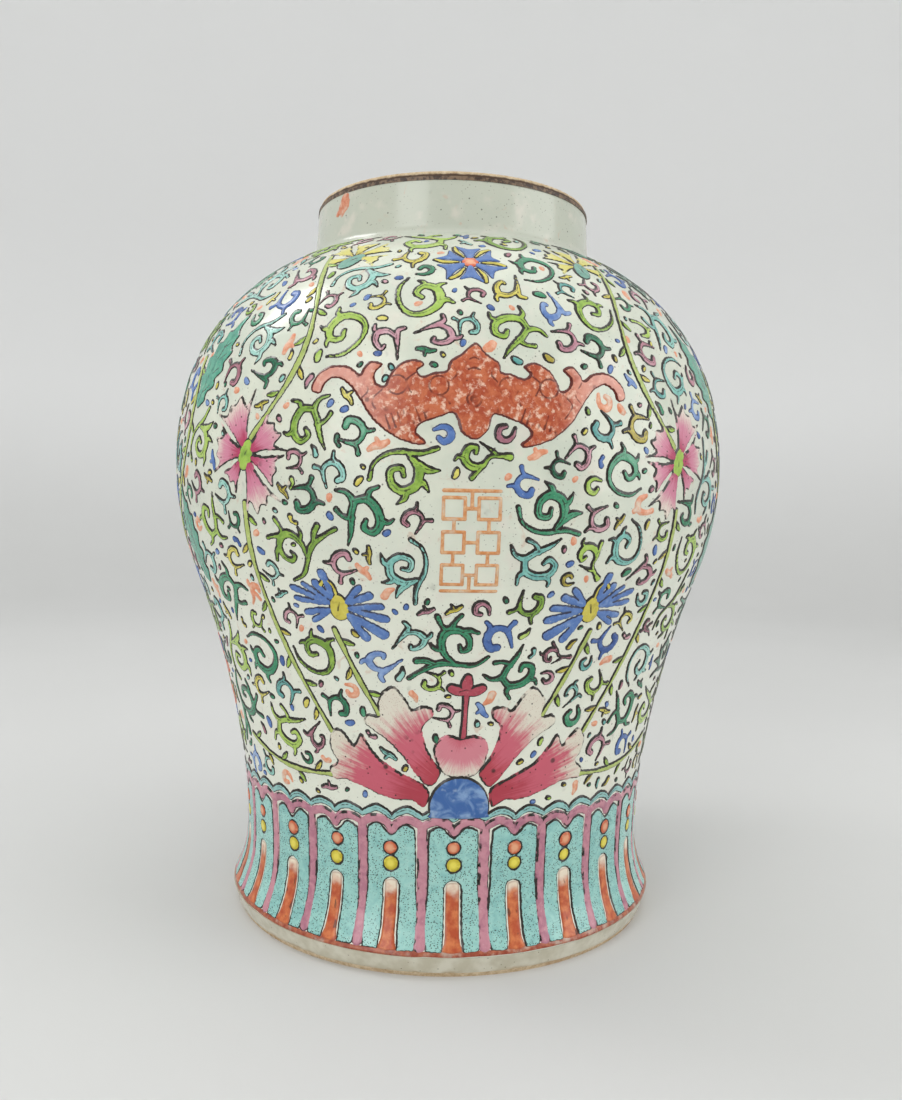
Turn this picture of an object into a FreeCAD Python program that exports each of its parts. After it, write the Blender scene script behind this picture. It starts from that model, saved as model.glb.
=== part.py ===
import FreeCAD, Part
import math
import os

import Sketcher
from FreeCAD import Placement, Rotation, Vector

# A porcelain baluster jar, millimetres, standing on its foot with +Z up and the foot's centre at the origin.
# The clay was thrown in sections and luted together; glaze skins and raised enamels lie over it.
# The main side of the decoration faces -Y and is repeated on the back.

document = FreeCAD.newDocument("ginger_jar")

DIMENSIONS = {
    # outline: curve radii and the turn each curve makes, from the waist up to the lip
    "jar_height": 330,
    "waist_radius": 94.5,
    "waist_height": 35,
    "flare_radius": 51.8,
    "lower_radius": 246,
    "lower_angle": 9.1,
    "rise_radius": 449,
    "rise_angle": 11.4,
    "belly_radius": 133,
    "belly_angle": 33.3,
    "shoulder_radius": 93,
    "shoulder_angle": 55.8,
    "root_radius": 5,
    "root_angle": 64.6,
    # clay
    "wall": 6.5,
    "foot_height": 9,
    "foot_contact_outer": 98.6,
    "foot_contact_inner": 88.5,
    "foot_inner": 86.5,
    "floor_height": 17,
    "mouth_radius": 58.2,
    "mouth_depth": 14,
    "lip_rounding": 1.2,
    # ridges of slip inside the two luted joints: the middle of each round
    "body_seam_across": 113.9,
    "body_seam_up": 162.4,
    "neck_seam_across": 66,
    "neck_seam_up": 296,
    "seam_width": 9,
    "seam_rise": 1.4,
    # glaze and enamel
    "glaze": 0.4,
    "enamel": 0.6,
    "bare_lip": 2.5,
    "bare_foot": 2,
    "lip_line_width": 1.6,
    "foot_line_width": 1.8,
    # the ring of lappets
    "lappet_count": 24,
    "lappet_foot": 11.4,
    "tongue_half": 2.5,
    "tongue_top": 36.5,
    "panel_half": 9.7,
    "panel_top": 59,
    "frame_half": 12.1,
    "frame_top": 64,
    "crest_top": 67.5,
    "yellow_bead_height": 44,
    "coral_bead_height": 52.3,
    "yellow_bead_radius": 2.4,
    "coral_bead_radius": 2.8,
    "enamel_gap": 0.5,
    # the half lotus that grows out of the crest
    "lotus_boss": 12,
    "lotus_height": 68.4,
    "petal_length": 46,
    "petal_half": 11,
    "heart_height": 93,
    "heart_radius": 7,
    # emblems
    "bat_height": 229,
    "bat_span": 124,
    "bat_depth": 34,
    "fret_height": 175.5,
    "fret_width": 27,
    "fret_tall": 41,
    "fret_stroke": 4,
    # blossoms: radius, height and place either side of the middle of the decoration
    "blue_radius": 17,
    "blue_height": 150,
    "blue_turn": 24,
    "pink_radius": 15,
    "pink_height": 210,
    "pink_turn": 41,
    "yellow_radius": 11,
    "yellow_height": 284,
    "yellow_turn": 28,
    "star_radius": 12,
    "star_height": 281,
    "side_radius": 18,
    "side_height": 108,
    "side_turn": 90,
    # vine stems
    "stem_width": 3,
    "upper_stem_top": 276,
    "upper_stem_foot": 222,
    "lower_stem_top": 196,
    "lower_stem_foot": 106,
    "upper_stem_foot_across": 70,
    "upper_stem_top_across": 52,
    "upper_stem_bow": 200,
    "lower_stem_foot_across": 46,
    "lower_stem_top_across": 74,
    "lower_stem_bow": 160,
    # reach of the prisms, rods and discs that cut the glaze and enamel skins, past the belly
    "tool_reach": 200,
}

sheet = document.addObject("Spreadsheet::Sheet", "dims")
for row, (alias, number) in enumerate(DIMENSIONS.items(), start=1):
    sheet.set(f"A{row}", alias)
    sheet.set(f"B{row}", str(number))
    sheet.setAlias(f"B{row}", alias)
document.recompute()

sub_parts = []


def value(expression):
    """The number that an expression over the sheet comes to."""
    return float(sheet.evalExpression(expression))


def plane_of(body, role):
    return next(feature for feature in body.Origin.OriginFeatures if feature.Role == role)


def new_sketch(body, name):
    """A sketch in the XZ plane: across is X, up is Z, and its normal points to -Y."""
    sketch = body.newObject("Sketcher::SketchObject", name)
    sketch.AttachmentSupport = [(plane_of(body, "XZ_Plane"), "")]
    sketch.MapMode = "FlatFace"
    return sketch


def bind(sketch, *parts):
    """Adds a constraint whose value follows the expression given last."""
    expression = parts[-1]
    number = value(expression)
    if parts[0] == "Angle":
        number = math.radians(number)
    index = sketch.addConstraint(Sketcher.Constraint(*parts[:-1], number))
    sketch.setExpression(f"Constraints[{index}]", expression)


def pin(sketch, point, across, up):
    bind(sketch, "DistanceX", -1, 1, *point, across)
    bind(sketch, "DistanceY", -1, 1, *point, up)


def keep(item, label):
    """Marks an object as a sub-part that is handed over under this name."""
    item.Label = label
    sub_parts.append(item)
    return item


# ---- the outline of the pot, and the layers that follow it ----

# The curves from the waist up. Out: the curve's centre lies outside the pot. In: inside it.
CURVES = (("lower", "out"), ("rise", "out"), ("belly", "in"), ("shoulder", "in"), ("root", "out"))


def normal(tilt):
    return Vector(math.cos(tilt), math.sin(tilt), 0)


def add_curve(sketch, kind, start, tilt, radius, angle, hidden):
    """One arc going up from start; returns its ends, the next start and the next tilt."""
    if kind == "out":
        centre = start + normal(tilt) * radius
        turned = tilt - angle
        span = (turned + math.pi, tilt + math.pi)
        stop = centre - normal(turned) * radius
        foot, head = 2, 1
    else:
        centre = start - normal(tilt) * radius
        turned = tilt + angle
        span = (tilt, turned)
        stop = centre + normal(turned) * radius
        foot, head = 1, 2
    circle = Part.Circle(centre, Vector(0, 0, 1), radius)
    index = sketch.addGeometry(Part.ArcOfCircle(circle, *span), hidden)
    return index, (index, foot), (index, head), stop, turned


def add_flare(sketch, offset, stop_height):
    """The curve that runs down from the waist to the foot; returns its lower end."""
    radius = value(f"dims.flare_radius - ({offset})")
    centre = Vector(value("dims.waist_radius + dims.flare_radius"), value("dims.waist_height"), 0)
    drop = math.asin((centre.y - value(stop_height)) / radius)
    circle = Part.Circle(centre, Vector(0, 0, 1), radius)
    index = sketch.addGeometry(Part.ArcOfCircle(circle, math.pi, math.pi + drop), False)
    bind(sketch, "Radius", index, f"dims.flare_radius - ({offset})")
    pin(sketch, (index, 1), f"dims.waist_radius + ({offset})", "dims.waist_height")
    sketch.addConstraint(Sketcher.Constraint("Horizontal", index, 3, index, 1))
    bind(sketch, "DistanceY", -1, 1, index, 2, stop_height)
    return index, 2


def add_neck(sketch, below, start, tilt, stop_height):
    """The straight side of the neck; returns its upper end."""
    rise = value(stop_height) - start.y
    stop = start + Vector(-math.tan(tilt), 1, 0) * rise
    index = sketch.addGeometry(Part.LineSegment(start, stop), False)
    sketch.addConstraint(Sketcher.Constraint("Tangent", *below, index, 1))
    bind(sketch, "DistanceY", -1, 1, index, 2, stop_height)
    return index, 2


def add_outline(sketch, offset, first, last, foot_stop, neck_stop):
    """The outline moved out by offset, between two of its curves; returns its lowest and highest end."""
    names = [name for name, _ in CURVES]
    begin = names.index(first)
    finish = names.index(last)
    place = Vector(value(f"dims.waist_radius + ({offset})"), value("dims.waist_height"), 0)
    tilt = 0.0
    below = None
    lowest = None
    for step, (name, kind) in enumerate(CURVES[: finish + 1]):
        size = f"dims.{name}_radius {'-' if kind == 'out' else '+'} ({offset})"
        turn = math.radians(value(f"dims.{name}_angle"))
        index, foot, head, place, tilt = add_curve(sketch, kind, place, tilt, value(size), turn, step < begin)
        bind(sketch, "Radius", index, size)
        bind(sketch, "Angle", index, f"dims.{name}_angle")
        if below is None:
            pin(sketch, foot, f"dims.waist_radius + ({offset})", "dims.waist_height")
            sketch.addConstraint(Sketcher.Constraint("Horizontal", index, 3, *foot))
        else:
            sketch.addConstraint(Sketcher.Constraint("Tangent", *below, *foot))
        if step == begin:
            lowest = foot
        below = head
    if foot_stop:
        lowest = add_flare(sketch, offset, foot_stop)
    if neck_stop:
        below = add_neck(sketch, below, place, tilt, neck_stop)
    return lowest, below


def point_of(sketch, point):
    return sketch.getPoint(*point)


def join(sketch, start, stop):
    """A straight edge between two points that are already in the sketch."""
    index = sketch.addGeometry(Part.LineSegment(point_of(sketch, start), point_of(sketch, stop)), False)
    sketch.addConstraint(Sketcher.Constraint("Coincident", index, 1, *start))
    sketch.addConstraint(Sketcher.Constraint("Coincident", index, 2, *stop))
    return index


def turn_about_axis(body, sketch):
    revolution = body.newObject("PartDesign::Revolution", body.Name + "_turned")
    revolution.Profile = sketch
    revolution.ReferenceAxis = (sketch, ["V_Axis"])
    revolution.Angle = 360
    body.Tip = revolution
    document.recompute()
    return body


def layer(name, inner, outer, first="lower", last="root", foot_stop=None, neck_stop=None):
    """A turned shell between two outlines that lie parallel to the pot's own."""
    body = document.addObject("PartDesign::Body", name)
    sketch = new_sketch(body, name + "_section")
    inside = add_outline(sketch, inner, first, last, foot_stop, neck_stop)
    outside = add_outline(sketch, outer, first, last, foot_stop, neck_stop)
    join(sketch, inside[0], outside[0])
    join(sketch, inside[1], outside[1])
    return turn_about_axis(body, sketch)


def turned_section(name, corners):
    """A turned ring or disc from the corners of its section, each an (across, up) pair of expressions."""
    body = document.addObject("PartDesign::Body", name)
    sketch = new_sketch(body, name + "_section")
    add_polygon(sketch, corners)
    return turn_about_axis(body, sketch)


def add_polygon(sketch, corners):
    places = [Vector(value(across), value(up), 0) for across, up in corners]
    first = sketch.GeometryCount
    count = len(corners)
    for step, (across, up) in enumerate(corners):
        index = sketch.addGeometry(Part.LineSegment(places[step], places[(step + 1) % count]), False)
        pin(sketch, (index, 1), across, up)
    for step in range(count):
        ends = (first + step, 2, first + (step + 1) % count, 1)
        sketch.addConstraint(Sketcher.Constraint("Coincident", *ends))


# ---- clay ----

FLARE_DROP = "(dims.waist_height - dims.foot_height)"
FOOT_RADIUS = f"(dims.waist_radius + dims.flare_radius - sqrt(dims.flare_radius ^ 2 - {FLARE_DROP} ^ 2))"


def make_foot_ring():
    corners = (
        ("dims.foot_contact_inner", "0"),
        ("dims.foot_contact_outer", "0"),
        (FOOT_RADIUS, "dims.foot_height"),
        ("dims.foot_inner", "dims.foot_height"),
    )
    keep(turned_section("foot_ring", corners), "foot_ring")


def make_base_plate():
    """A thick disc whose rim fits the curved inside of the lower wall."""
    body = document.addObject("PartDesign::Body", "base_plate")
    sketch = new_sketch(body, "base_plate_section")
    radius = value("dims.flare_radius + dims.wall")
    centre = Vector(value("dims.waist_radius + dims.flare_radius"), value("dims.waist_height"), 0)
    high = math.pi + math.asin((centre.y - value("dims.floor_height")) / radius)
    low = math.pi + math.asin((centre.y - value("dims.foot_height")) / radius)
    rim = sketch.addGeometry(Part.ArcOfCircle(Part.Circle(centre, Vector(0, 0, 1), radius), high, low), False)
    pin(sketch, (rim, 3), "dims.waist_radius + dims.flare_radius", "dims.waist_height")
    bind(sketch, "Radius", rim, "dims.flare_radius + dims.wall")
    bind(sketch, "DistanceY", -1, 1, rim, 1, "dims.floor_height")
    bind(sketch, "DistanceY", -1, 1, rim, 2, "dims.foot_height")
    under = Vector(0, value("dims.foot_height"), 0)
    over = Vector(0, value("dims.floor_height"), 0)
    middle = sketch.addGeometry(Part.LineSegment(under, over), False)
    sketch.addConstraint(Sketcher.Constraint("PointOnObject", middle, 1, -2))
    sketch.addConstraint(Sketcher.Constraint("PointOnObject", middle, 2, -2))
    for end, edge in ((1, 2), (2, 1)):
        line = join(sketch, (middle, end), (rim, edge))
        sketch.addConstraint(Sketcher.Constraint("Horizontal", line))
    keep(turn_about_axis(body, sketch), "base_plate")


def make_neck_collar():
    """The thrown neck: its flange sits on the shoulder, its mouth is turned true inside, its lip is rounded."""
    body = layer("neck_collar", "-dims.wall", "0", "root", "root", None, "dims.jar_height")
    sketch = new_sketch(body, "mouth_section")
    corners = (
        ("0", "dims.jar_height - dims.mouth_depth"),
        ("dims.mouth_radius", "dims.jar_height - dims.mouth_depth"),
        ("dims.mouth_radius", "dims.jar_height"),
        ("0", "dims.jar_height"),
    )
    add_polygon(sketch, corners)
    groove = body.newObject("PartDesign::Groove", "mouth_turned")
    groove.Profile = sketch
    groove.ReferenceAxis = (sketch, ["V_Axis"])
    groove.Angle = 360
    body.Tip = groove
    document.recompute()
    rounding = body.newObject("PartDesign::Fillet", "lip_rounded")
    rim = value("dims.jar_height")
    edges = enumerate(groove.Shape.Edges, start=1)
    names = [f"Edge{number}" for number, edge in edges if edge.BoundBox.ZMin > rim - 0.01]
    rounding.Base = (groove, names)
    rounding.setExpression("Radius", "dims.lip_rounding")
    body.Tip = rounding
    document.recompute()
    keep(body, "neck_collar")


def make_slip_ridge(name, curve, place):
    """The ridge of slip that squeezed out inside a joint: a slice of a torus lying on the inner wall."""
    skin = layer(name + "_skin", "-dims.wall - dims.seam_rise", "-dims.wall", *curve)
    torus = document.addObject("Part::Torus", name + "_round")
    torus.setExpression("Radius1", f"dims.{place}_across")
    torus.setExpression("Radius2", "dims.seam_width / 2")
    torus.setExpression("Placement.Base.z", f"dims.{place}_up")
    return keep(common(name, skin, torus), name)


def common(name, base, tool):
    shared = document.addObject("Part::Common", name)
    shared.Base = base
    shared.Tool = tool
    document.recompute()
    return shared


def cut(name, base, tool):
    rest = document.addObject("Part::Cut", name)
    rest.Base = base
    rest.Tool = tool
    document.recompute()
    return rest


def together(name, items):
    if len(items) == 1:
        return items[0]
    group = document.addObject("Part::MultiFuse", name)
    group.Shapes = items
    document.recompute()
    return group


def make_clay():
    make_foot_ring()
    make_base_plate()
    walls = ("-dims.wall", "0")
    keep(layer("lower_body", *walls, "lower", "rise", "dims.foot_height"), "lower_body")
    keep(layer("upper_body", *walls, "belly", "shoulder"), "upper_body")
    make_neck_collar()
    body_seam = make_slip_ridge("body_luting_seam", ("rise", "belly"), "body_seam")
    neck_seam = make_slip_ridge("neck_luting_seam", ("shoulder", "root"), "neck_seam")
    return body_seam, neck_seam


# ---- glaze ----

def make_glazes(seams):
    keep(layer("outer_glaze", "0", "dims.glaze", "lower", "root", "dims.foot_height",
               "dims.jar_height - dims.bare_lip"), "outer_glaze")
    lining = layer("lining", "-dims.wall - dims.glaze", "-dims.wall", "lower", "shoulder", "dims.floor_height")
    keep(cut("inner_glaze", lining, together("ridges", list(seams))), "inner_glaze")
    corners = (
        ("0", "dims.foot_height - dims.glaze"),
        ("dims.foot_inner", "dims.foot_height - dims.glaze"),
        ("dims.foot_inner", "dims.foot_height"),
        ("0", "dims.foot_height"),
    )
    keep(turned_section("base_glaze", corners), "base_glaze")
    bare_share = "dims.bare_foot / dims.foot_height"
    low = f"(dims.foot_contact_outer + ({FOOT_RADIUS} - dims.foot_contact_outer) * {bare_share})"
    bevel = (
        (low, "dims.bare_foot"),
        (f"{low} + dims.glaze", "dims.bare_foot"),
        (f"{FOOT_RADIUS} + dims.glaze", "dims.foot_height"),
        (FOOT_RADIUS, "dims.foot_height"),
    )
    keep(turned_section("foot_glaze", bevel), "foot_glaze")


# ---- enamels: thin raised patches of a skin that lies on the glaze ----

def outward(name, points):
    """A prism that runs out from the axis towards -Y, with an outline of (across, up, radius) points.

    A radius of None makes a straight edge to the next point; a number's expression makes an arc of that
    radius, bulging outside the outline, or inside it where the expression starts with a minus sign.
    """
    body = document.addObject("PartDesign::Body", name)
    sketch = new_sketch(body, name + "_outline")
    add_loop(sketch, points)
    pad = body.newObject("PartDesign::Pad", name + "_prism")
    pad.Profile = sketch
    pad.setExpression("Length", "dims.tool_reach")
    body.Tip = pad
    document.recompute()
    return body


def add_loop(sketch, points):
    places = [Vector(value(across), value(up), 0) for across, up, _ in points]
    count = len(points)
    ends = []
    for step, (_, _, radius) in enumerate(points):
        start = places[step]
        stop = places[(step + 1) % count]
        ends.append(add_edge(sketch, start, stop, radius))
    for step, (across, up, _) in enumerate(points):
        first, _ = ends[step]
        _, before = ends[step - 1]
        pin(sketch, first, across, up)
        sketch.addConstraint(Sketcher.Constraint("Coincident", *before, *first))


def add_edge(sketch, start, stop, radius):
    """A line or an arc from start to stop; the outline runs anticlockwise."""
    if radius is None:
        index = sketch.addGeometry(Part.LineSegment(start, stop), False)
        return (index, 1), (index, 2)
    hollow = radius.startswith("-")
    size = value(radius.lstrip("-"))
    chord = stop - start
    sagitta = size - math.sqrt(max(size * size - chord.Length ** 2 / 4, 0))
    side = Vector(chord.y, -chord.x, 0).normalize()
    middle = start + chord * 0.5 + side * (-sagitta if hollow else sagitta)
    curve = Part.Arc(start, middle, stop)
    index = sketch.addGeometry(curve, False)
    bind(sketch, "Radius", index, radius.lstrip("-"))
    return ((index, 2), (index, 1)) if hollow else ((index, 1), (index, 2))


def mirrored(half):
    """An outline symmetric about the upright through the middle, from its right half, which runs upward."""
    radii = [radius for _, _, radius in half]
    left = []
    for step in range(len(half) - 1, -1, -1):
        across, up, _ = half[step]
        if across != "0":
            left.append((f"-({across})", up, radii[step - 1] if step else None))
    return half + left


def gather(name, items):
    """Separate solids of one sub-part, kept as a group."""
    group = document.addObject("Part::Compound", name)
    group.Links = items
    document.recompute()
    return keep(group, name)


def ring(name, single, count):
    """Copies of one patch, evenly turned about the jar's axis, as one group of separate solids."""
    step = 360 / value(count)
    copies = []
    for number in range(round(value(count))):
        copy = single.Shape.copy()
        copy.rotate(Vector(0, 0, 0), Vector(0, 0, 1), number * step)
        copies.append(copy)
    group = document.addObject("Part::Feature", name)
    group.Shape = Part.makeCompound(copies)
    group.Placement = Placement(Vector(0, 0, 0), Rotation())
    return keep(group, name)


def patch(name, skin, points):
    """One patch of the skin, with the outline given, on the main side."""
    return common(name + "_patch", skin, outward(name + "_shape", points))


def rod(name, radius, height, turn):
    """A rod that runs out from the axis, turned away from the middle of the main side."""
    tool = document.addObject("Part::Cylinder", name)
    tool.setExpression("Height", "dims.tool_reach")
    tool.setExpression("Radius", radius)
    aim = Rotation(Vector(0, 0, 1), turn) * Rotation(Vector(1, 0, 0), 90)
    tool.Placement = Placement(Vector(0, 0, 0), aim)
    tool.setExpression("Placement.Base.z", height)
    return tool


def round_patch(name, skin, radius, height, turn):
    return common(name + "_patch", skin, rod(name + "_rod", radius, height, turn))


# ---- the ring of lappets ----

def arch(half, top):
    """An upright panel with two scallops at its head."""
    return mirrored([
        (half, "dims.lappet_foot", None),
        (half, f"{top} - {half} * 0.3", f"{half} * 0.55"),
        ("0", f"{top} - {half} * 0.2", f"{half} * 0.55"),
    ])


def make_lappets(skin):
    tongue = patch("tongue", skin, mirrored([
        ("dims.tongue_half", "dims.lappet_foot", None),
        ("dims.tongue_half", "dims.tongue_top - dims.tongue_half", "dims.tongue_half * 1.04"),
    ]))
    yellow = round_patch("yellow_bead", skin, "dims.yellow_bead_radius", "dims.yellow_bead_height", 0)
    coral = round_patch("coral_bead", skin, "dims.coral_bead_radius", "dims.coral_bead_height", 0)
    field = patch("panel", skin, arch("dims.panel_half", "dims.panel_top"))
    panel = cut("panel_around", field, together("panel_fillings", [tongue, yellow, coral]))
    frame_field = patch("frame", skin, arch("dims.frame_half", "dims.frame_top"))
    room = outward("panel_room", arch("dims.panel_half + dims.enamel_gap", "dims.panel_top + dims.enamel_gap"))
    frame = cut("frame_around", frame_field, room)
    crest_field = patch("crest", skin, arch("dims.frame_half", "dims.crest_top"))
    crest = cut("crest_above", crest_field, outward("crest_room", arch("dims.frame_half", "dims.frame_top")))
    pieces = (
        ("lappet_tongues", tongue),
        ("lappet_yellow_beads", yellow),
        ("lappet_coral_beads", coral),
        ("lappet_panels", panel),
        ("lappet_frames", frame),
        ("lappet_crest", crest),
    )
    for name, single in pieces:
        ring(name, single, "dims.lappet_count")
    line = band("foot_line_band", "dims.foot_height", "dims.foot_height + dims.foot_line_width")
    keep(common("foot_line", skin, line), "foot_line")


def band(name, low, high):
    """A disc between two heights, wider than the jar."""
    slab = document.addObject("Part::Cylinder", name)
    slab.setExpression("Radius", "dims.tool_reach")
    slab.setExpression("Height", f"({high}) - ({low})")
    slab.setExpression("Placement.Base.z", low)
    document.recompute()
    return slab


# ---- blossoms ----

def blossoms(name, skin, radius, height, turns):
    patches = []
    for number, turn in enumerate(turns):
        patches.append(round_patch(f"{name}_{number}", skin, radius, height, turn))
    gather(name, patches)


def four(turn):
    """Either side of the middle, on the main side and on the back."""
    angle = value(turn)
    return (angle, -angle, 180 + angle, 180 - angle)


def make_blossoms(skin):
    for name in ("blue", "pink", "yellow"):
        turns = four(f"dims.{name}_turn")
        blossoms(f"{name}_blossoms", skin, f"dims.{name}_radius", f"dims.{name}_height", turns)
    blossoms("star_blossoms", skin, "dims.star_radius", "dims.star_height", (0, 180))
    side = value("dims.side_turn")
    blossoms("side_blossoms", skin, "dims.side_radius", "dims.side_height", (side, -side))


# ---- the half lotus ----

def petal_points(lean):
    """A pointed petal from the boss outwards, its tip leaning from upright by the angle given."""
    root = "(dims.lotus_boss + 1)"
    tip = f"(dims.lotus_boss + dims.petal_length)"
    middle = f"(dims.lotus_boss + dims.petal_length * 0.45)"
    places = ((root, "dims.petal_half * 0.35"), (middle, "dims.petal_half"), (tip, "0"),
              (middle, "-dims.petal_half"), (root, "-dims.petal_half * 0.35"))
    points = []
    for along, aside in places:
        across = f"{along} * sin({lean}) + ({aside}) * cos({lean})"
        up = f"dims.lotus_height + {along} * cos({lean}) - ({aside}) * sin({lean})"
        points.append((across, up, "dims.petal_length"))
    points[-1] = (*points[-1][:2], None)
    return points


def make_lotus(skin):
    boss = patch("boss", skin, [
        ("-dims.lotus_boss", "dims.lotus_height", None),
        ("dims.lotus_boss", "dims.lotus_height", "dims.lotus_boss * 1.04"),
    ])
    ring("lotus_bosses", boss, "2")
    heart = round_patch("heart", skin, "dims.heart_radius", "dims.heart_height", 0)
    ring("lotus_hearts", heart, "2")
    for name, lean in (("inner", 31), ("outer", 66)):
        pair = [patch(f"{name}_petal_{side}", skin, petal_points(side * lean)) for side in (-1, 1)]
        both = document.addObject("Part::Compound", f"{name}_petal_pair")
        both.Links = pair
        document.recompute()
        ring(f"lotus_{name}_petals", both, "2")


# ---- emblems ----

def make_bat(skin):
    """A bat with spread wings, head down: scalloped lower edge, humped upper edge."""
    half = [
        ("0", "dims.bat_height - dims.bat_depth * 0.5", "dims.bat_span * 0.12"),
        ("dims.bat_span * 0.1", "dims.bat_height - dims.bat_depth * 0.2", "-dims.bat_span * 0.2"),
        ("dims.bat_span * 0.3", "dims.bat_height - dims.bat_depth * 0.42", "-dims.bat_span * 0.2"),
        ("dims.bat_span * 0.5", "dims.bat_height - dims.bat_depth * 0.25", "dims.bat_span * 0.25"),
        ("dims.bat_span * 0.3", "dims.bat_height + dims.bat_depth * 0.5", "dims.bat_span * 0.3"),
        ("dims.bat_span * 0.08", "dims.bat_height + dims.bat_depth * 0.3", "dims.bat_span * 0.12"),
        ("0", "dims.bat_height + dims.bat_depth * 0.35", "dims.bat_span * 0.12"),
    ]
    ring("bat_emblems", patch("bat", skin, mirrored(half)), "2")


def make_fret(skin):
    """A fretwork medallion: a frame of straight strokes crossed by level bars."""
    bars = []
    for number in range(5):
        up = f"dims.fret_height + dims.fret_tall * {(number - 2) * 0.22:.2f}"
        reach = "dims.fret_width / 2" if number % 2 == 0 else "dims.fret_width / 2 - dims.fret_stroke * 1.6"
        bars.append(patch(f"fret_bar_{number}", skin, mirrored([
            (reach, f"{up} - dims.fret_stroke / 2", None),
            (reach, f"{up} + dims.fret_stroke / 2", None),
        ])))
    for side in (-1, 0, 1):
        middle = f"{side} * (dims.fret_width / 2 - dims.fret_stroke)"
        low = "dims.fret_height - dims.fret_tall / 2"
        high = "dims.fret_height + dims.fret_tall / 2"
        bars.append(patch(f"fret_post_{side + 1}", skin, [
            (f"{middle} + dims.fret_stroke / 2", low, None),
            (f"{middle} + dims.fret_stroke / 2", high, None),
            (f"{middle} - dims.fret_stroke / 2", high, None),
            (f"{middle} - dims.fret_stroke / 2", low, None),
        ]))
    ring("fret_emblems", together("fret", bars), "2")


# ---- vine stems: narrow bowed strips ----

def stem(name, skin, low, high, radius):
    """A bowed strip between two (across, up) places, bulging to the right of the way it runs."""
    wide = "dims.stem_width"
    return patch(name, skin, [
        (low[0], low[1], radius),
        (f"{high[0]} + {wide} / 2", high[1], None),
        (f"{high[0]} - {wide} / 2", high[1], f"-({radius})"),
        (f"{low[0]} - {wide}", low[1], None),
    ])


def make_stems(skin):
    strips = []
    for place in ("upper_stem", "lower_stem"):
        foot = (f"dims.{place}_foot_across", f"dims.{place}_foot")
        top = (f"dims.{place}_top_across", f"dims.{place}_top")
        strips.append(stem(place + "_right", skin, foot, top, f"dims.{place}_bow"))
    both = document.addObject("Part::Compound", "stem_pair")
    both.Links = strips
    document.recompute()
    across = document.addObject("Part::Mirroring", "stem_pair_mirrored")
    across.Source = both
    across.Normal = Vector(1, 0, 0)
    four_strips = document.addObject("Part::Compound", "stem_set")
    four_strips.Links = [both, across]
    document.recompute()
    ring("vine_stems", four_strips, "2")


def make_lip_line():
    """The brown line where the glaze stops below the bare lip."""
    skin = layer("neck_skin", "dims.glaze", "dims.glaze + dims.enamel / 2", "root", "root", None,
                 "dims.jar_height - dims.bare_lip")
    low = "dims.jar_height - dims.bare_lip - dims.lip_line_width"
    keep(common("lip_line", skin, band("lip_band", low, "dims.jar_height")), "lip_line")


def make_enamels():
    skin = layer("enamel_skin", "dims.glaze", "dims.glaze + dims.enamel", "lower", "shoulder", "dims.foot_height")
    make_lappets(skin)
    make_lotus(skin)
    make_bat(skin)
    make_fret(skin)
    make_blossoms(skin)
    make_stems(skin)
    make_lip_line()


def check():
    """Every object must have built, and every sub-part must be sound, before anything is written."""
    for item in document.Objects:
        if "Invalid" in item.State or "Error" in item.State:
            raise RuntimeError(f"{item.Name} did not build: {item.State}")
    for item in sub_parts:
        if item.Shape.isNull() or not item.Shape.isValid() or not item.Shape.Solids:
            raise RuntimeError(f"{item.Label} has no sound solid")


def write():
    os.makedirs("parts", exist_ok=True)
    for item in sub_parts:
        item.Shape.exportStep(os.path.join("parts", item.Label + ".step"))
        print(item.Label, len(item.Shape.Solids), round(item.Shape.Volume, 1))


seams = make_clay()
make_glazes(seams)
make_enamels()
document.recompute()
check()
write()
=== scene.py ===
"""A porcelain baluster jar with raised enamels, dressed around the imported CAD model."""
import math

import bpy
import numpy as np
from mathutils import Matrix, Vector
from mathutils.bvhtree import BVHTree


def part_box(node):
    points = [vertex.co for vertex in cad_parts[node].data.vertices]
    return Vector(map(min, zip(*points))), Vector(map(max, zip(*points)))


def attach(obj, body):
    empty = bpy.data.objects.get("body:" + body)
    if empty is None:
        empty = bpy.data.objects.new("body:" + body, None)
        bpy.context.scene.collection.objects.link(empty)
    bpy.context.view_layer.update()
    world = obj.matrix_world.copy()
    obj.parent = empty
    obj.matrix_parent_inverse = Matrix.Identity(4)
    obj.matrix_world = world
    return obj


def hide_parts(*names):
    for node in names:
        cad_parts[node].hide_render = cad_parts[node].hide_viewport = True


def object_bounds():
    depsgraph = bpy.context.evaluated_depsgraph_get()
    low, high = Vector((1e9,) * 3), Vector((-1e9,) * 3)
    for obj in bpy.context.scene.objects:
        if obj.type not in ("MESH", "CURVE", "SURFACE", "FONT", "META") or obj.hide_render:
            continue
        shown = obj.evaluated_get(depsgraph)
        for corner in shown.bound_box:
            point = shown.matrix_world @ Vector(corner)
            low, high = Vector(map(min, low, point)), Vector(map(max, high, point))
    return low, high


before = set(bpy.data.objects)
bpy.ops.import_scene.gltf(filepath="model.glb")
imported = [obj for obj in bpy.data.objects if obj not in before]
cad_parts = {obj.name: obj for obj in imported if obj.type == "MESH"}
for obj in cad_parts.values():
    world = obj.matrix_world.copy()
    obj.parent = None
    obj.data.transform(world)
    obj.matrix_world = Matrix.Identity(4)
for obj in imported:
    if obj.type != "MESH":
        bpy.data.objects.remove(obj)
cad_low, cad_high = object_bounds()

MM = 0.001
LAPPETS = 24
GLAZE_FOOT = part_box("outer_glaze")[0][2] / MM
GLAZE_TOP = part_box("outer_glaze")[1][2] / MM
LIP = cad_high[2] / MM
SIDES = (0.0, 180.0)
SHOULDER_TOP = 296
OUTSIDE = 0.4
WIDEST = 130


# ---------------------------------------------------------------- the pot's surface, in millimetres

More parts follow.
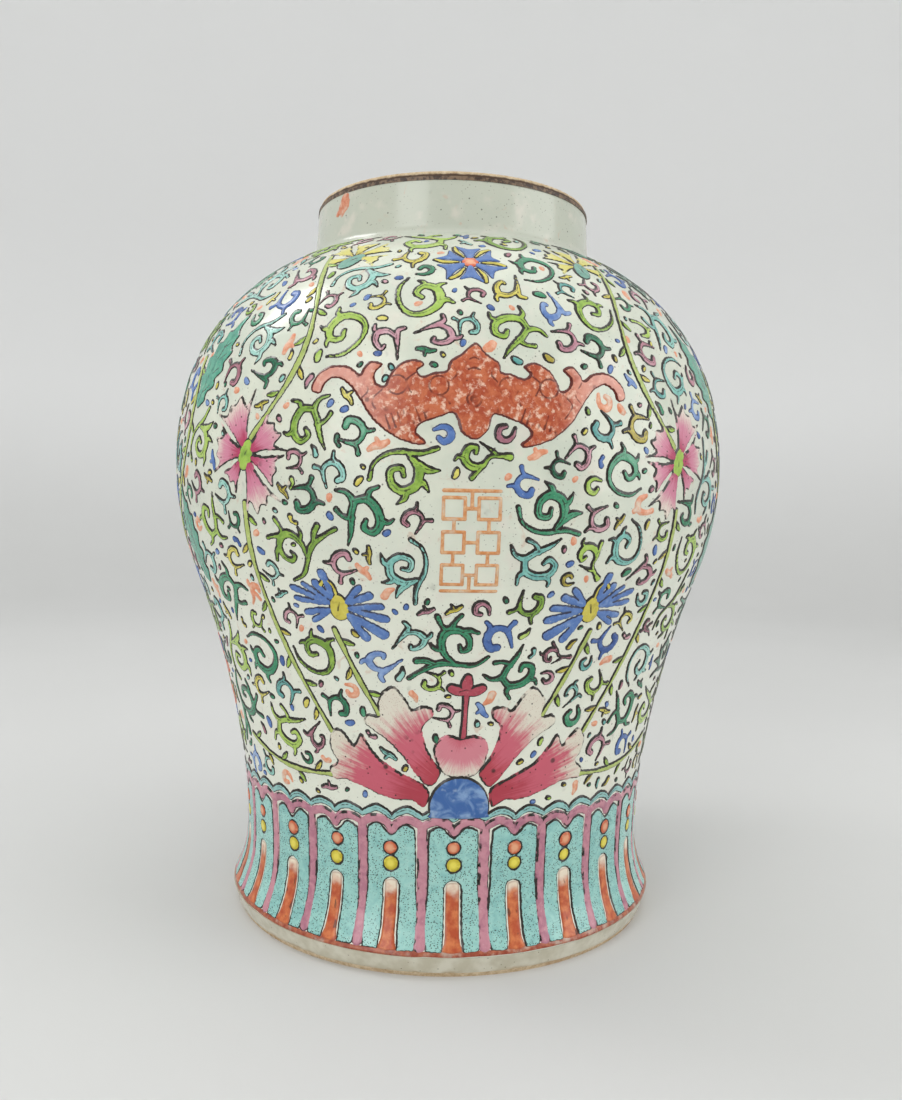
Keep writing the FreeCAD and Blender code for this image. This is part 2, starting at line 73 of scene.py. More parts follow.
def read_outline():
    """Radius of the glazed surface against height, read off the CAD glaze by rays towards the axis."""
    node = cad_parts["outer_glaze"]
    tree = BVHTree.FromPolygons([v.co for v in node.data.vertices], [p.vertices for p in node.data.polygons])
    heights = np.linspace(GLAZE_FOOT + 0.05, GLAZE_TOP - 0.05, 640)
    radii = []
    for height in heights:
        reach = []
        for turn in (0.3, 1.1, 2.7, 4.0, 5.3):
            aim = Vector((math.cos(turn), math.sin(turn), 0))
            hit = tree.ray_cast(aim * OUTSIDE + Vector((0, 0, height * MM)), -aim)[0]
            reach.append(math.hypot(hit.x, hit.y) / MM)
        radii.append(max(reach))
    kernel = np.hanning(13) / np.hanning(13).sum()
    smooth = np.convolve(np.pad(radii, 6, mode="edge"), kernel, "valid")
    shoulder = heights > SHOULDER_TOP
    smooth[shoulder] = np.array(radii)[shoulder]
    return heights, smooth


HEIGHTS, RADII = read_outline()
RUN = np.concatenate([[0], np.cumsum(np.hypot(np.diff(HEIGHTS), np.diff(RADII)))])
SLOPE_R = np.gradient(RADII, RUN)
SLOPE_Z = np.gradient(HEIGHTS, RUN)


def run_of(height):
    """Distance along the outline from the foot of the glaze, for a height."""
    return np.interp(height, HEIGHTS, RUN)


def radius_at(run):
    return np.interp(run, RUN, RADII)


def wobble(angle, run):
    """A thrown pot is never quite true: slow swells, all together less than the glaze is thick."""
    slow = 0.15 * np.sin(2 * angle + 0.6 + run * 0.006) + 0.08 * np.sin(3 * angle - run * 0.021)
    rings = 0.03 * np.sin(run * 0.35 + 1.3 * np.sin(angle)) + 0.02 * np.sin(run * 0.83)
    return slow + rings


def place(angle, run, lift=0.0):
    """Points on the pot: angle 0 is the middle of the main side (-Y) and grows towards +X."""
    out = wobble(angle, run) + lift
    normal_r = np.interp(run, RUN, SLOPE_Z)
    normal_z = -np.interp(run, RUN, SLOPE_R)
    radius = np.interp(run, RUN, RADII) + normal_r * out
    height = np.interp(run, RUN, HEIGHTS) + normal_z * out
    return np.stack([radius * np.sin(angle), -radius * np.cos(angle), height], axis=-1)


# ---------------------------------------------------------------- drawn shapes as distance fields

FAR = 99.0
NO_LINE = 9.0
RIM_LIFT, SUNK = 0.05, 0.03


def smooth_path(points, steps=8, closed=False):
    """A Catmull-Rom curve through the points, whose columns may hold widths as well as places."""
    p = np.array(points, float)
    if closed:
        p = np.vstack([p[-1], p, p[0], p[1]])
    else:
        p = np.vstack([2 * p[0] - p[1], p, 2 * p[-1] - p[-2]])
    t = np.linspace(0, 1, steps, endpoint=False)[:, None]
    out = []
    for a, b, c, d in zip(p[:-3], p[1:-2], p[2:-1], p[3:]):
        out.append(0.5 * (2 * b + (c - a) * t + (2 * a - 5 * b + 4 * c - d) * t ** 2
                          + (3 * b - a - 3 * c + d) * t ** 3))
    out = np.vstack(out)
    return out if closed else np.vstack([out, p[-2]])


def stroke_field(x, y, path):
    """Signed distance to a brush stroke given as (x, y, half width) points, and to its middle line."""
    best = np.full(x.shape, FAR)
    middle = np.full(x.shape, FAR)
    for (ax, ay, aw), (bx, by, bw) in zip(path[:-1], path[1:]):
        dx, dy = bx - ax, by - ay
        length2 = dx * dx + dy * dy + 1e-9
        t = np.clip(((x - ax) * dx + (y - ay) * dy) / length2, 0, 1)
        away = np.hypot(x - ax - t * dx, y - ay - t * dy)
        best = np.minimum(best, away - (aw + (bw - aw) * t))
        middle = np.minimum(middle, away)
    return best, middle


def blob_field(x, y, outline):
    """Signed distance to a closed outline: negative inside."""
    away = np.full(x.shape, FAR)
    inside = np.zeros(x.shape, bool)
    ring = np.vstack([outline, outline[:1]])
    for (ax, ay), (bx, by) in zip(ring[:-1], ring[1:]):
        dx, dy = bx - ax, by - ay
        t = np.clip(((x - ax) * dx + (y - ay) * dy) / (dx * dx + dy * dy + 1e-9), 0, 1)
        away = np.minimum(away, np.hypot(x - ax - t * dx, y - ay - t * dy))
        crosses = (ay > y) != (by > y)
        inside ^= crosses & (x < ax + (y - ay) * dx / (dy if dy else 1e-9))
    return np.where(inside, -away, away)


class Motif:
    """One enamel colour's shape in millimetres, with its drawn lines and its root-to-tip shading."""

    def __init__(self, strokes=(), blobs=(), lines=(), holes=(), root=None, reach=1.0, vein=False):
        self.strokes = [np.array(s, float) for s in strokes]
        self.blobs = [np.array(b, float) for b in blobs]
        self.lines = [np.array(s, float) for s in lines]
        self.holes = [np.array(s, float) for s in holes]
        self.root = root
        self.reach = reach
        self.vein = vein

    def box(self, spare):
        parts = [s[:, :2] - s[:, 2:3] for s in self.strokes] + [s[:, :2] + s[:, 2:3] for s in self.strokes]
        every = np.vstack(parts + self.blobs)
        return every.min(0) - spare, every.max(0) + spare

    def fields(self, x, y):
        edge = np.full(x.shape, FAR)
        middle = np.full(x.shape, FAR)
        for path in self.strokes:
            near, axis = stroke_field(x, y, path)
            edge = np.minimum(edge, near)
            middle = np.minimum(middle, axis)
        for outline in self.blobs:
            edge = np.minimum(edge, blob_field(x, y, outline))
        for path in self.holes:
            edge = np.maximum(edge, -stroke_field(x, y, path)[0])
        line = np.full(x.shape, NO_LINE)
        for path in self.lines:
            line = np.minimum(line, stroke_field(x, y, path)[0])
        if self.vein:
            line = np.minimum(line, np.maximum(middle - 0.10, edge + 0.75))
        return edge, line


class Sheet:
    """A motif cut from a fine grid whose rim is pulled on to the outline."""

    def __init__(self, motif, step=0.45, ink=0.28, swell=0.42, bevel=1.1, sway=0.0, seed=0):
        low, high = motif.box(ink + 2 * step)
        x, y = np.meshgrid(np.arange(low[0], high[0] + step, step), np.arange(low[1], high[1] + step, step))
        edge, line = motif.fields(x, y)
        if sway:
            ragged = np.sin(x * 0.9 + seed) * np.cos(y * 0.7 + 2 * seed)
            edge = edge + sway * (ragged + 0.5 * np.sin(x * 2.3 - y * 1.9 + seed))
        cut = edge - ink
        inner = cut < 0
        cells = inner[:-1, :-1] | inner[1:, :-1] | inner[:-1, 1:] | inner[1:, 1:]
        gy, gx = np.gradient(cut, step)
        size = np.hypot(gx, gy) + 1e-6
        gx, gy = gx / size, gy / size
        pull = np.where(inner, 0, np.minimum(cut, 1.5 * step))
        x = x - gx * pull
        y = y - gy * pull
        cut = np.where(inner, cut, 0)
        used = np.zeros(x.shape, bool)
        used[:-1, :-1] |= cells
        used[1:, :-1] |= cells
        used[:-1, 1:] |= cells
        used[1:, 1:] |= cells
        number = np.full(x.shape, -1)
        number[used] = np.arange(used.sum())
        rows, columns = np.nonzero(cells)
        self.faces = np.stack([number[rows, columns], number[rows, columns + 1],
                               number[rows + 1, columns + 1], number[rows + 1, columns]], axis=1)
        self.x, self.y = x[used], y[used]
        depth = np.clip(-(cut[used] + ink), -ink, None)
        t = np.clip(depth / bevel, 0, 1)
        self.lift = np.where(depth > 0, RIM_LIFT + swell * np.sqrt(1 - (1 - t) ** 2),
                             RIM_LIFT * (depth + ink) / ink)
        self.lift = self.lift - SUNK
        self.depth = depth
        self.line = line[used]
        self.gx, self.gy = gx[used], gy[used]
        root = motif.root or (0, 0)
        self.along = np.hypot(self.x - root[0], self.y - root[1]) / motif.reach
        self.across = np.arctan2(self.x - root[0], self.y - root[1] + 1e-6)
        inside = self.depth > 0.1
        self.kept = np.stack([self.x[inside], self.y[inside]], axis=1)[::max(1, int(2.2 / step))]


class Batch:
    """All the sheets of one enamel, gathered into one mesh."""

    def __init__(self, name):
        self.name = name
        self.points, self.faces, self.values = [], [], []
        self.count = 0

    def add(self, sheet, angle, height, turn=0.0, size=1.0, flip=False, tint=0.5, tile=None):
        """Lays a sheet on the pot. A tile is laid by angle and height, for the ring of lappets."""
        x = -sheet.x if flip else sheet.x
        gx = -sheet.gx if flip else sheet.gx
        c, s = math.cos(math.radians(turn)), math.sin(math.radians(turn))
        east = (x * c + sheet.y * s) * size
        north = (sheet.y * c - x * s) * size
        if tile:
            run = run_of(height + north)
            angles = math.radians(angle) + east / tile
        else:
            run = run_of(height) + north
            angles = math.radians(angle) + east / radius_at(run)
        # How each edge faces a fixed light direction; inked() uses this to paint shade into one side of the
        # outline.
        lit = -(gx * c + sheet.gy * s) * 0.6 + (sheet.gy * c - gx * s) * 0.8
        self.points.append(place(angles, run, sheet.lift * min(size, 1.0)))
        faces = sheet.faces[:, ::-1] if flip else sheet.faces
        self.faces.append(faces + self.count)
        self.count += len(sheet.x)
        values = [sheet.depth * size, sheet.line * size, sheet.along, sheet.across, lit,
                  np.full(len(sheet.x), tint)]
        self.values.append(np.stack(values, axis=1))

    def build(self, material, slot, *nodes):
        points = np.vstack(self.points) * MM
        faces = np.vstack(self.faces)
        item = mesh_object(self.name, points, faces, material)
        values = np.vstack(self.values)
        for column, label in enumerate(("depth", "line", "along", "across", "lit", "tint")):
            layer = item.data.attributes.new(label, "FLOAT", "POINT")
            layer.data.foreach_set("value", np.ascontiguousarray(values[:, column], np.float32))
        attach(item, "root")
        if nodes:
            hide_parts(*nodes)


def ring_faces(rows, around):
    """Quads between rows of points that each go once round."""
    row, column = np.meshgrid(np.arange(rows - 1), np.arange(around), indexing="ij")
    row, column = row.ravel(), column.ravel()
    after = (column + 1) % around
    return np.stack([row * around + column, row * around + after,
                     (row + 1) * around + after, (row + 1) * around + column], axis=1)


def mesh_object(name, points, faces, material):
    mesh = bpy.data.meshes.new(name)
    sides = faces.shape[1]
    mesh.vertices.add(len(points))
    mesh.vertices.foreach_set("co", np.ascontiguousarray(points, np.float32).ravel())
    mesh.loops.add(len(faces) * sides)
    mesh.loops.foreach_set("vertex_index", np.ascontiguousarray(faces, np.int32).ravel())
    mesh.polygons.add(len(faces))
    mesh.polygons.foreach_set("loop_start", np.arange(0, len(faces) * sides, sides, dtype=np.int32))
    mesh.polygons.foreach_set("use_smooth", np.ones(len(faces), bool))
    mesh.update(calc_edges=True)
    mesh.validate()
    mesh.materials.append(material)
    item = bpy.data.objects.new(name, mesh)
    bpy.context.scene.collection.objects.link(item)
    return item


# ---------------------------------------------------------------- materials

def srgb(code):
    """A colour from its usual six-digit code."""
    parts = [int(code[i:i + 2], 16) / 255 for i in (0, 2, 4)]
    return tuple(c / 12.92 if c <= 0.04045 else ((c + 0.055) / 1.055) ** 2.4 for c in parts) + (1.0,)


class Nodes:
    """A short way to write node trees."""

    def __init__(self, name):
        self.material = bpy.data.materials.new(name)
        self.material.use_nodes = True
        self.tree = self.material.node_tree
        self.shader = self.tree.nodes["Principled BSDF"]

    def link(self, source, target):
        self.tree.links.new(source, target)

    def put(self, value, socket):
        if hasattr(value, "is_linked"):
            self.link(value, socket)
        else:
            socket.default_value = value

    def attribute(self, name):
        node = self.tree.nodes.new("ShaderNodeAttribute")
        node.attribute_name = name
        return node.outputs["Fac"]

    def where(self):
        return self.tree.nodes.new("ShaderNodeTexCoord").outputs["Object"]

    def height(self):
        """Height over the floor, in metres."""
        node = self.tree.nodes.new("ShaderNodeSeparateXYZ")
        self.link(self.where(), node.inputs[0])
        return node.outputs[2]

    def scaled(self, vector, factors):
        node = self.tree.nodes.new("ShaderNodeMapping")
        self.link(vector, node.inputs["Vector"])
        node.inputs["Scale"].default_value = factors
        return node.outputs["Vector"]

    def noise(self, scale, detail=2.0, roughness=0.5, vector=None, distortion=0.0):
        node = self.tree.nodes.new("ShaderNodeTexNoise")
        self.link(vector or self.where(), node.inputs["Vector"])
        node.inputs["Scale"].default_value = scale
        node.inputs["Detail"].default_value = detail
        node.inputs["Roughness"].default_value = roughness
        node.inputs["Distortion"].default_value = distortion
        return node.outputs["Fac"]

    def spots(self, scale, low, high):
        """Small round spots: 1 at their middle, 0 outside."""
        node = self.tree.nodes.new("ShaderNodeTexVoronoi")
        self.link(self.where(), node.inputs["Vector"])
        node.inputs["Scale"].default_value = scale
        return self.ramp(node.outputs["Distance"], high, low)

    def math(self, kind, a, b=0.0, c=None):
        node = self.tree.nodes.new("ShaderNodeMath")
        node.operation = kind
        self.put(a, node.inputs[0])
        self.put(b, node.inputs[1])
        if c is not None:
            self.put(c, node.inputs[2])
        return node.outputs[0]

    def times(self, a, b):
        return self.math("MULTIPLY", a, b)

    def ramp(self, value, low, high, to_low=0.0, to_high=1.0):
        """Value from low to high becomes to_low to to_high, smoothly; low may be the larger."""
        node = self.tree.nodes.new("ShaderNodeMapRange")
        node.interpolation_type = "SMOOTHSTEP"
        self.put(value, node.inputs["Value"])
        if low > high:
            low, high, to_low, to_high = high, low, to_high, to_low
        node.inputs["From Min"].default_value = low
        node.inputs["From Max"].default_value = high
        node.inputs["To Min"].default_value = to_low
        node.inputs["To Max"].default_value = to_high
        return node.outputs["Result"]

    def mix(self, factor, a, b):
        node = self.tree.nodes.new("ShaderNodeMix")
        node.data_type = "RGBA"
        self.put(factor, node.inputs[0])
        self.put(a, node.inputs[6])
        self.put(b, node.inputs[7])
        return node.outputs[2]

    def over(self, colour, mask, amount, code):
        """Lays another colour over this one where the mask is, at most by the amount."""
        return self.mix(self.times(mask, amount), colour, srgb(code))

    def bump(self, height, strength, distance):
        node = self.tree.nodes.new("ShaderNodeBump")
        self.link(height, node.inputs["Height"])
        node.inputs["Strength"].default_value = strength
        node.inputs["Distance"].default_value = distance
        self.link(node.outputs["Normal"], self.shader.inputs["Normal"])

    def finish(self, colour, roughness=0.2, coat=0.0):
        self.put(colour, self.shader.inputs["Base Color"])
        self.put(roughness, self.shader.inputs["Roughness"])
        self.shader.inputs["Coat Weight"].default_value = coat
        self.shader.inputs["Coat Roughness"].default_value = 0.06
        return self.material


INK = srgb("1f1812")
# LINE_WEIGHT is the outline's own width; the second weight is painted shade, added to the outline on one
# side only.
LINE_WEIGHT, PAINTED_SHADE_WEIGHT = 0.07, 0.16
RUST = srgb("9a4a33")
GROUND = srgb("d3d7c7")


def inked(nodes, colour, ink, thin, thick, soft=0.22, broken=0.0, vein=True):
    """Draws the ink outline round a patch and its inner lines; the outline is thickened on one side as
    painted shade.
    """
    tremble = nodes.math("MULTIPLY_ADD", nodes.noise(900, 1), 0.5, -0.25)
    depth = nodes.math("ADD", nodes.attribute("depth"), tremble)
    # Painted shade: the outline widens on one side, by up to thick plus the painted shade weight, as the lit
    # attribute rises.
    side = nodes.ramp(nodes.attribute("lit"), -1.0, 1.0, 0.0, thick + PAINTED_SHADE_WEIGHT)
    rim = nodes.ramp(nodes.math("SUBTRACT", depth, side), thin + LINE_WEIGHT + soft, thin + LINE_WEIGHT, 0.0,
                     1.0)
    both = rim
    if vein:
        line = nodes.ramp(nodes.math("ADD", nodes.attribute("line"), tremble), soft, 0.0, 0.0, 1.0)
        patchy = nodes.ramp(nodes.noise(170, 1), 0.38, 0.55, 0.0, 0.85)
        both = nodes.math("MAXIMUM", rim, nodes.times(line, patchy))
    if broken:
        both = nodes.times(both, nodes.ramp(nodes.noise(220, 2), 0.5 - broken, 0.62 - broken))
    return nodes.mix(both, colour, ink)


def enamel(name, pale, middle, deep, thin, thick, ink=INK, stipple=0.0, broken=0.0, vein=True):
    """A translucent overglaze colour: pooled and uneven, with an ink outline under it, thickened on one side
    as painted shade.
    """
    nodes = Nodes(name)
    pool = nodes.noise(260, 3, 0.6, distortion=0.6)
    tone = nodes.math("MULTIPLY_ADD", nodes.attribute("tint"), 0.55, nodes.math("SUBTRACT", pool, 0.28))
    colour = nodes.mix(nodes.ramp(tone, 0.15, 0.55), srgb(deep), srgb(middle))
    colour = nodes.mix(nodes.ramp(tone, 0.5, 0.95), colour, srgb(pale))
    worn = nodes.times(nodes.ramp(nodes.noise(1500, 2), 0.62, 0.8), 0.3)
    colour = nodes.mix(worn, colour, GROUND)
    if stipple:
        dots = nodes.spots(1250, 0.18, 0.40)
        close = nodes.times(nodes.ramp(nodes.attribute("depth"), 2.4, 0.5), 0.9)
        where = nodes.math("MAXIMUM", close, nodes.ramp(nodes.noise(120, 3, 0.6), 0.32, 0.54))
        colour = nodes.mix(nodes.times(dots, nodes.times(where, stipple)), colour, INK)
    colour = inked(nodes, colour, ink, thin, thick, broken=broken, vein=vein)
    nodes.bump(nodes.noise(700, 3), 0.25, 0.0003)
    return nodes.finish(colour, 0.22)


def graded(name, root, body, tip, ends):
    """A petal colour that runs from deep at its root to a pale, stippled tip."""
    nodes = Nodes(name)
    along = nodes.attribute("along")
    streaks = nodes.noise(1.0, 3, 0.6, nodes.scaled(polar(nodes), (34, 2.2, 1)))
    drift = nodes.math("ADD", along, nodes.math("MULTIPLY_ADD", streaks, 0.5, -0.25))
    blotch = nodes.math("MULTIPLY_ADD", nodes.noise(160, 3, 0.6), 0.3, -0.15)
    drift = nodes.math("ADD", drift, blotch)
    colour = nodes.mix(nodes.ramp(drift, *ends[0]), srgb(root), srgb(body))
    colour = nodes.mix(nodes.ramp(drift, *ends[1]), colour, srgb(tip))
    dots = nodes.spots(1300, 0.10, 0.24)
    far = nodes.ramp(along, ends[1][0] - 0.1, ends[1][1])
    colour = nodes.mix(nodes.times(dots, nodes.times(far, 0.75)), colour, RUST)
    pits = nodes.times(nodes.spots(330, 0.07, 0.16), 0.9)
    colour = nodes.mix(pits, colour, INK)
    chips = nodes.times(nodes.spots(150, 0.10, 0.22), nodes.ramp(nodes.noise(80, 2), 0.42, 0.58))
    colour = nodes.mix(nodes.times(chips, 0.85), colour, INK)
    colour = inked(nodes, colour, INK, 0.16, 0.42, broken=0.12)
    nodes.bump(nodes.noise(600, 3), 0.25, 0.0003)
    return nodes.finish(colour, 0.26)


def polar(nodes):
    """Across and along the petal, as a vector for streaks that follow it."""
    join = nodes.tree.nodes.new("ShaderNodeCombineXYZ")
    nodes.link(nodes.attribute("across"), join.inputs["X"])
    nodes.link(nodes.attribute("along"), join.inputs["Y"])
    nodes.link(nodes.attribute("tint"), join.inputs["Z"])
    return join.outputs["Vector"]


def glaze_material(name, tint, speck=1.0):
    """Greenish white glaze: faint clouds, iron specks, stray pink and grey stains, a few pits."""
    nodes = Nodes(name)
    cloud = nodes.noise(34, 4, 0.6)
    colour = nodes.mix(nodes.ramp(cloud, 0.35, 0.68), srgb("c9cfc0"), srgb(tint))
    up = nodes.height()
    low = nodes.times(nodes.ramp(up, 0.21, 0.13), 0.7)
    colour = nodes.mix(low, colour, srgb("e6e8da"))
    neck = nodes.times(nodes.ramp(up, 0.296, 0.304), 0.75)
    colour = nodes.mix(neck, colour, srgb("b6baac"))
    veil = nodes.ramp(nodes.noise(95, 3, 0.55), 0.52, 0.74)
    colour = nodes.over(colour, veil, 0.5 * speck, "dcd3c8")
    stain = nodes.ramp(nodes.noise(150, 3, 0.6, distortion=1.0), 0.62, 0.76)
    colour = nodes.over(colour, stain, 0.5 * speck, "c9a48c")
    smoke = nodes.ramp(nodes.noise(170, 2, 0.5, nodes.scaled(nodes.where(), (1.0, 1.3, 0.8))), 0.68, 0.8)
    colour = nodes.over(colour, smoke, 0.35 * speck, "8d9187")
    fine = nodes.times(nodes.spots(620, 0.08, 0.19), nodes.ramp(nodes.noise(60, 2), 0.35, 0.6))
    colour = nodes.over(colour, fine, 0.6 * speck, "4b3f38")
    large = nodes.spots(190, 0.04, 0.09)
    colour = nodes.over(colour, large, 0.75 * speck, "33302b")
    swell = nodes.math("ADD", nodes.noise(45, 2), nodes.times(nodes.noise(420, 3), 0.12))
    nodes.bump(swell, 0.35, 0.0009)
    return nodes.finish(colour, 0.19, 0.14)


def clay_material(name, pale, dark):
    nodes = Nodes(name)
    grain = nodes.noise(500, 5, 0.65)
    colour = nodes.mix(nodes.ramp(grain, 0.3, 0.7), srgb(dark), srgb(pale))
    rust = nodes.ramp(nodes.noise(70, 3), 0.5, 0.75)
    colour = nodes.over(colour, rust, 0.5, "9a6f4c")
    grit = nodes.spots(800, 0.08, 0.2)
    colour = nodes.over(colour, grit, 0.5, "4a3a2e")
    nodes.bump(grain, 0.5, 0.0004)
    up = nodes.height()
    rise = nodes.math("MULTIPLY_ADD", nodes.noise(350, 3), 0.0012, up)
    burnt = nodes.ramp(rise, LIP * MM - 0.0012, LIP * MM - 0.0004, 1.0, 0.0)
    neck = nodes.ramp(up, LIP * MM - 0.010, LIP * MM - 0.009)
    colour = nodes.over(colour, burnt, neck, "4a3526")
    return nodes.finish(colour, 0.75)


# ---------------------------------------------------------------- motifs

BRUSH, PRESSURE = 0.98, 1.5
PETAL_START = 3.0


def drawn(*strokes):
    """A scroll painted in a few brush strokes of (x, y, half width), set about its own middle."""
    paths = [smooth_path(points, 5) for points in strokes]
    for path in paths:
        path[:, 2] = BRUSH * path[:, 2] ** PRESSURE
    every = np.vstack(paths)[:, :2]
    middle = (every.min(0) + every.max(0)) / 2
    for path in paths:
        path[:, :2] -= middle
    return Motif(strokes=paths, vein=True)


SPREADING = drawn(
    [(-11, -5.5, 0.7), (-8, 0, 1.0), (-2, 3, 1.1), (4, 6, 1.3), (8, 12, 1.0), (10.5, 17, 1.0)],
    [(-1, 3.2, 1.0), (4, 1.5, 1.2), (7.5, -2, 1.4), (8, -7, 1.6), (4, -9.5, 1.4), (-0.5, -8.5, 1.2),
     (-2.5, -5, 1.2), (-0.8, -2.8, 1.1), (0.8, -4.2, 0.9)],
    [(8, -7, 1.3), (11, -8.2, 1.0), (14, -10.5, 1.1)],
    [(7, -9, 1.4), (7.2, -12, 1.0), (6.5, -15, 1.0)],
    [(3, -9.5, 1.3), (0.5, -11.6, 1.1), (-2.5, -12, 0.9)],
    [(5, 7, 1.3), (8.5, 7.4, 1.2), (11.5, 9.2, 1.3)],
    [(6, 0.6, 1.1), (8.4, 1.4, 1.0), (10.6, 0.6, 0.8)])
WHORL = drawn(
    [(-7, -9, 0.9), (-8.4, -4, 0.8), (-6.5, 1, 0.9), (-2.5, 4.6, 1.0), (3, 7.5, 1.0), (7, 12, 0.9)],
    [(0, 5, 1.0), (5, 3, 1.4), (7.4, -2, 1.5), (4.6, -6.4, 1.4), (0, -6, 1.3), (-2.2, -2.6, 1.2),
     (0.2, -0.2, 1.1), (2.4, -1.8, 0.9)],
    [(4.6, 4, 1.3), (8, 4.2, 1.3), (11.5, 6, 0.5)],
    [(7, -0.6, 1.2), (9.6, -0.4, 1.1), (12.2, -1.8, 0.5)],
    [(5.5, -5.5, 1.3), (6.4, -8, 1.1), (5.4, -11, 0.5)])
EARED = drawn(
    [(-4.8, -4.4, 0.5), (-3.9, -0.6, 0.9), (-2.6, 2.2, 1.1), (0.2, 3.1, 1.1), (3.1, 1.8, 1.3),
     (4.1, -1.6, 1.3),
     (2.9, -4.4, 1.3), (0.4, -4.2, 1.2)],
    [(-2.9, 2.0, 1.1), (-3.7, 3.6, 0.9), (-5.2, 5.0, 1.0)],
    [(3.2, 2.0, 1.2), (3.4, 3.8, 0.9), (4.8, 5.6, 0.8)])
FOOTED = drawn(
    [(6.4, -7.2, 1.3), (4, -5, 1.0), (1.8, -2, 0.9), (2.2, 2.2, 1.2), (0, 5, 1.4), (-3.6, 5, 1.4),
     (-5.4, 2, 1.3),
     (-4, -0.4, 1.1), (-2.6, 0.8, 0.9)],
    [(3.2, -4.2, 0.9), (0, -3.8, 0.8), (-4.4, -2.6, 0.3)],
    [(2.2, 2.8, 1.2), (2.8, 5, 0.9), (3, 7.6, 1.1)],
    [(-4, 5, 1.2), (-5.6, 6.4, 0.9), (-5.4, 8, 0.7)])
CRESTED = drawn(
    [(2.6, -12.0, 0.5), (-2.0, -9.5, 1.0), (-5, -4, 1.5), (-4.0, 1.2, 1.4), (-6.4, 5.0, 1.1),
     (-10.4, 5.4, 0.7)],
    [(-4, -0.6, 1.2), (-1, 3.0, 1.3), (3.4, 3.2, 1.5), (5.4, -0.6, 1.5), (4.6, -4.6, 1.4), (1.8, -5.6, 1.3)],
    [(0.4, 3.4, 1.3), (0.8, 6.0, 1.1), (3.6, 8.4, 0.8)],
    [(4, 3, 1.3), (6, 4.6, 1.0), (8.8, 4.6, 0.8)],
    [(-5, -4, 1.3), (-7.4, -5.4, 1.1), (-10, -4.6, 0.8)])
CRESCENT = drawn(
    [(10, -4.7, 0.6), (8.4, 1.2, 0.9), (3, 5.8, 1.0), (-3, 6.2, 1.1), (-6.6, 2, 1.3), (-6.2, -4, 1.5),
     (-1.4, -7.2, 1.5), (2.8, -5.6, 1.3), (2.6, -1.6, 1.2), (-0.5, -1.2, 1.0)],
    [(-6, -4.4, 1.4), (-7.6, -6.4, 1.1), (-9.8, -6.8, 0.8)],
    [(-1, -7.4, 1.3), (-0.4, -9.4, 1.0), (-1.4, -11.4, 0.5)],
    [(2.6, -5.8, 1.2), (4.8, -6.6, 1.0), (6.2, -6.0, 0.7)])
HORNED = drawn(
    [(10.0, -9.6, 0.6), (7.0, -5, 1.1), (4.8, 0.4, 1.3), (2.6, 4.4, 1.3), (4.0, 8.4, 1.0), (7.6, 10.2, 0.7)],
    [(2.5, 4.5, 1.2), (-2.4, 3.8, 1.4), (-4.8, -0.6, 1.5), (-4.2, -5.8, 1.5), (-0.6, -8, 1.3),
     (2, -5.6, 1.2),
     (0.4, -3.4, 1.0)],
    [(5, -1, 1.2), (8, 0.6, 1.0), (9.8, 3.8, 1.0)],
    [(-2.6, 3.8, 1.3), (-4.6, 6.2, 1.0), (-8.0, 6.4, 0.8)],
    [(-4.6, -4.6, 1.3), (-7.0, -6.4, 1.0), (-9.2, -6.0, 0.7)])
HOOKED = drawn(
    [(-2.5, -9, 0.5), (-3.6, -4, 0.9), (-4.2, 0, 1.2), (-5.2, 2.4, 1.1), (-7.6, 2.4, 0.9)],
    [(-4, 0, 1.1), (-1.4, 3.2, 1.2), (2.4, 3.6, 1.4), (3.8, 0.4, 1.2), (2.4, -3.2, 1.0), (1, -2.4, 0.9)],
    [(2.2, 3.6, 1.2), (3.2, 5.6, 1.0), (2.6, 7.2, 0.8)])
BOAT = drawn(
    [(-1, 5, 1.1), (-2.6, 2, 1.0), (-3.4, -2, 1.2), (-1.6, -4.8, 1.4), (1.4, -4.4, 1.3), (3.8, -1.4, 0.9)],
    [(-2.6, -4, 1.2), (-4.2, -6, 1.0)])
SERPENT = drawn(
    [(0.6, 6, 1.4), (-1.8, 3.6, 1.1), (-0.2, 0.8, 1.1), (1.6, -1.8, 1.3), (0, -4.8, 1.3), (-3.2, -6, 0.8)],
    [(-1.6, 3.4, 1.1), (-3.8, 3.8, 1.0), (-5.6, 2.6, 0.7)],
    [(1.4, -1.6, 1.1), (3.8, -1.2, 1.0), (5.4, 0.4, 0.8)])
FORKED = drawn(
    [(0.9, 6, 1.5), (0.6, 2.4, 1.1), (-1.4, 0, 1.4), (-3.4, -1.8, 1.4), (-3.6, -4.8, 1.1)],
    [(0.4, 1, 1.2), (2, -1.4, 1.1), (3.6, -4.4, 1.0)])
SPRIG = drawn(
    [(-5, -4, 0.5), (-2.4, -1.6, 0.9), (0.6, -1, 1.2), (3.2, 1, 1.4), (2.8, 3.8, 1.2), (0.6, 4, 1.0)],
    [(0.4, -1, 1.1), (-0.8, 1.4, 1.0), (-3.2, 2.6, 1.0)],
    [(2.4, -0.2, 1.1), (4.6, -1.6, 1.0), (6, -1.2, 0.8)])
CURL = drawn([(-2.6, -3.6, 0.8), (-3.2, 0, 1.1), (-1.4, 2.8, 1.3), (1.8, 2.4, 1.4), (2.8, -0.6, 1.3),
              (1, -2.2, 1.1)])
HORN = drawn([(-2.6, 3.2, 1.1), (-0.4, 1.4, 1.3), (1.2, -1, 1.3), (3.6, -2.6, 0.9)],
             [(0.2, 0.8, 1.1), (-1.8, -1.6, 0.9)])

LARGE_SCROLLS = (SPREADING, WHORL, CRESCENT, HORNED)
MIDDLE_SCROLLS = (EARED, FOOTED, CRESTED, CRESCENT, HORNED, HOOKED, EARED)
SMALL_SCROLLS = (EARED, BOAT, SERPENT, FORKED, SPRIG, CURL, HOOKED)
TINY_SCROLLS = (CURL, HORN, BOAT, SERPENT, FORKED)

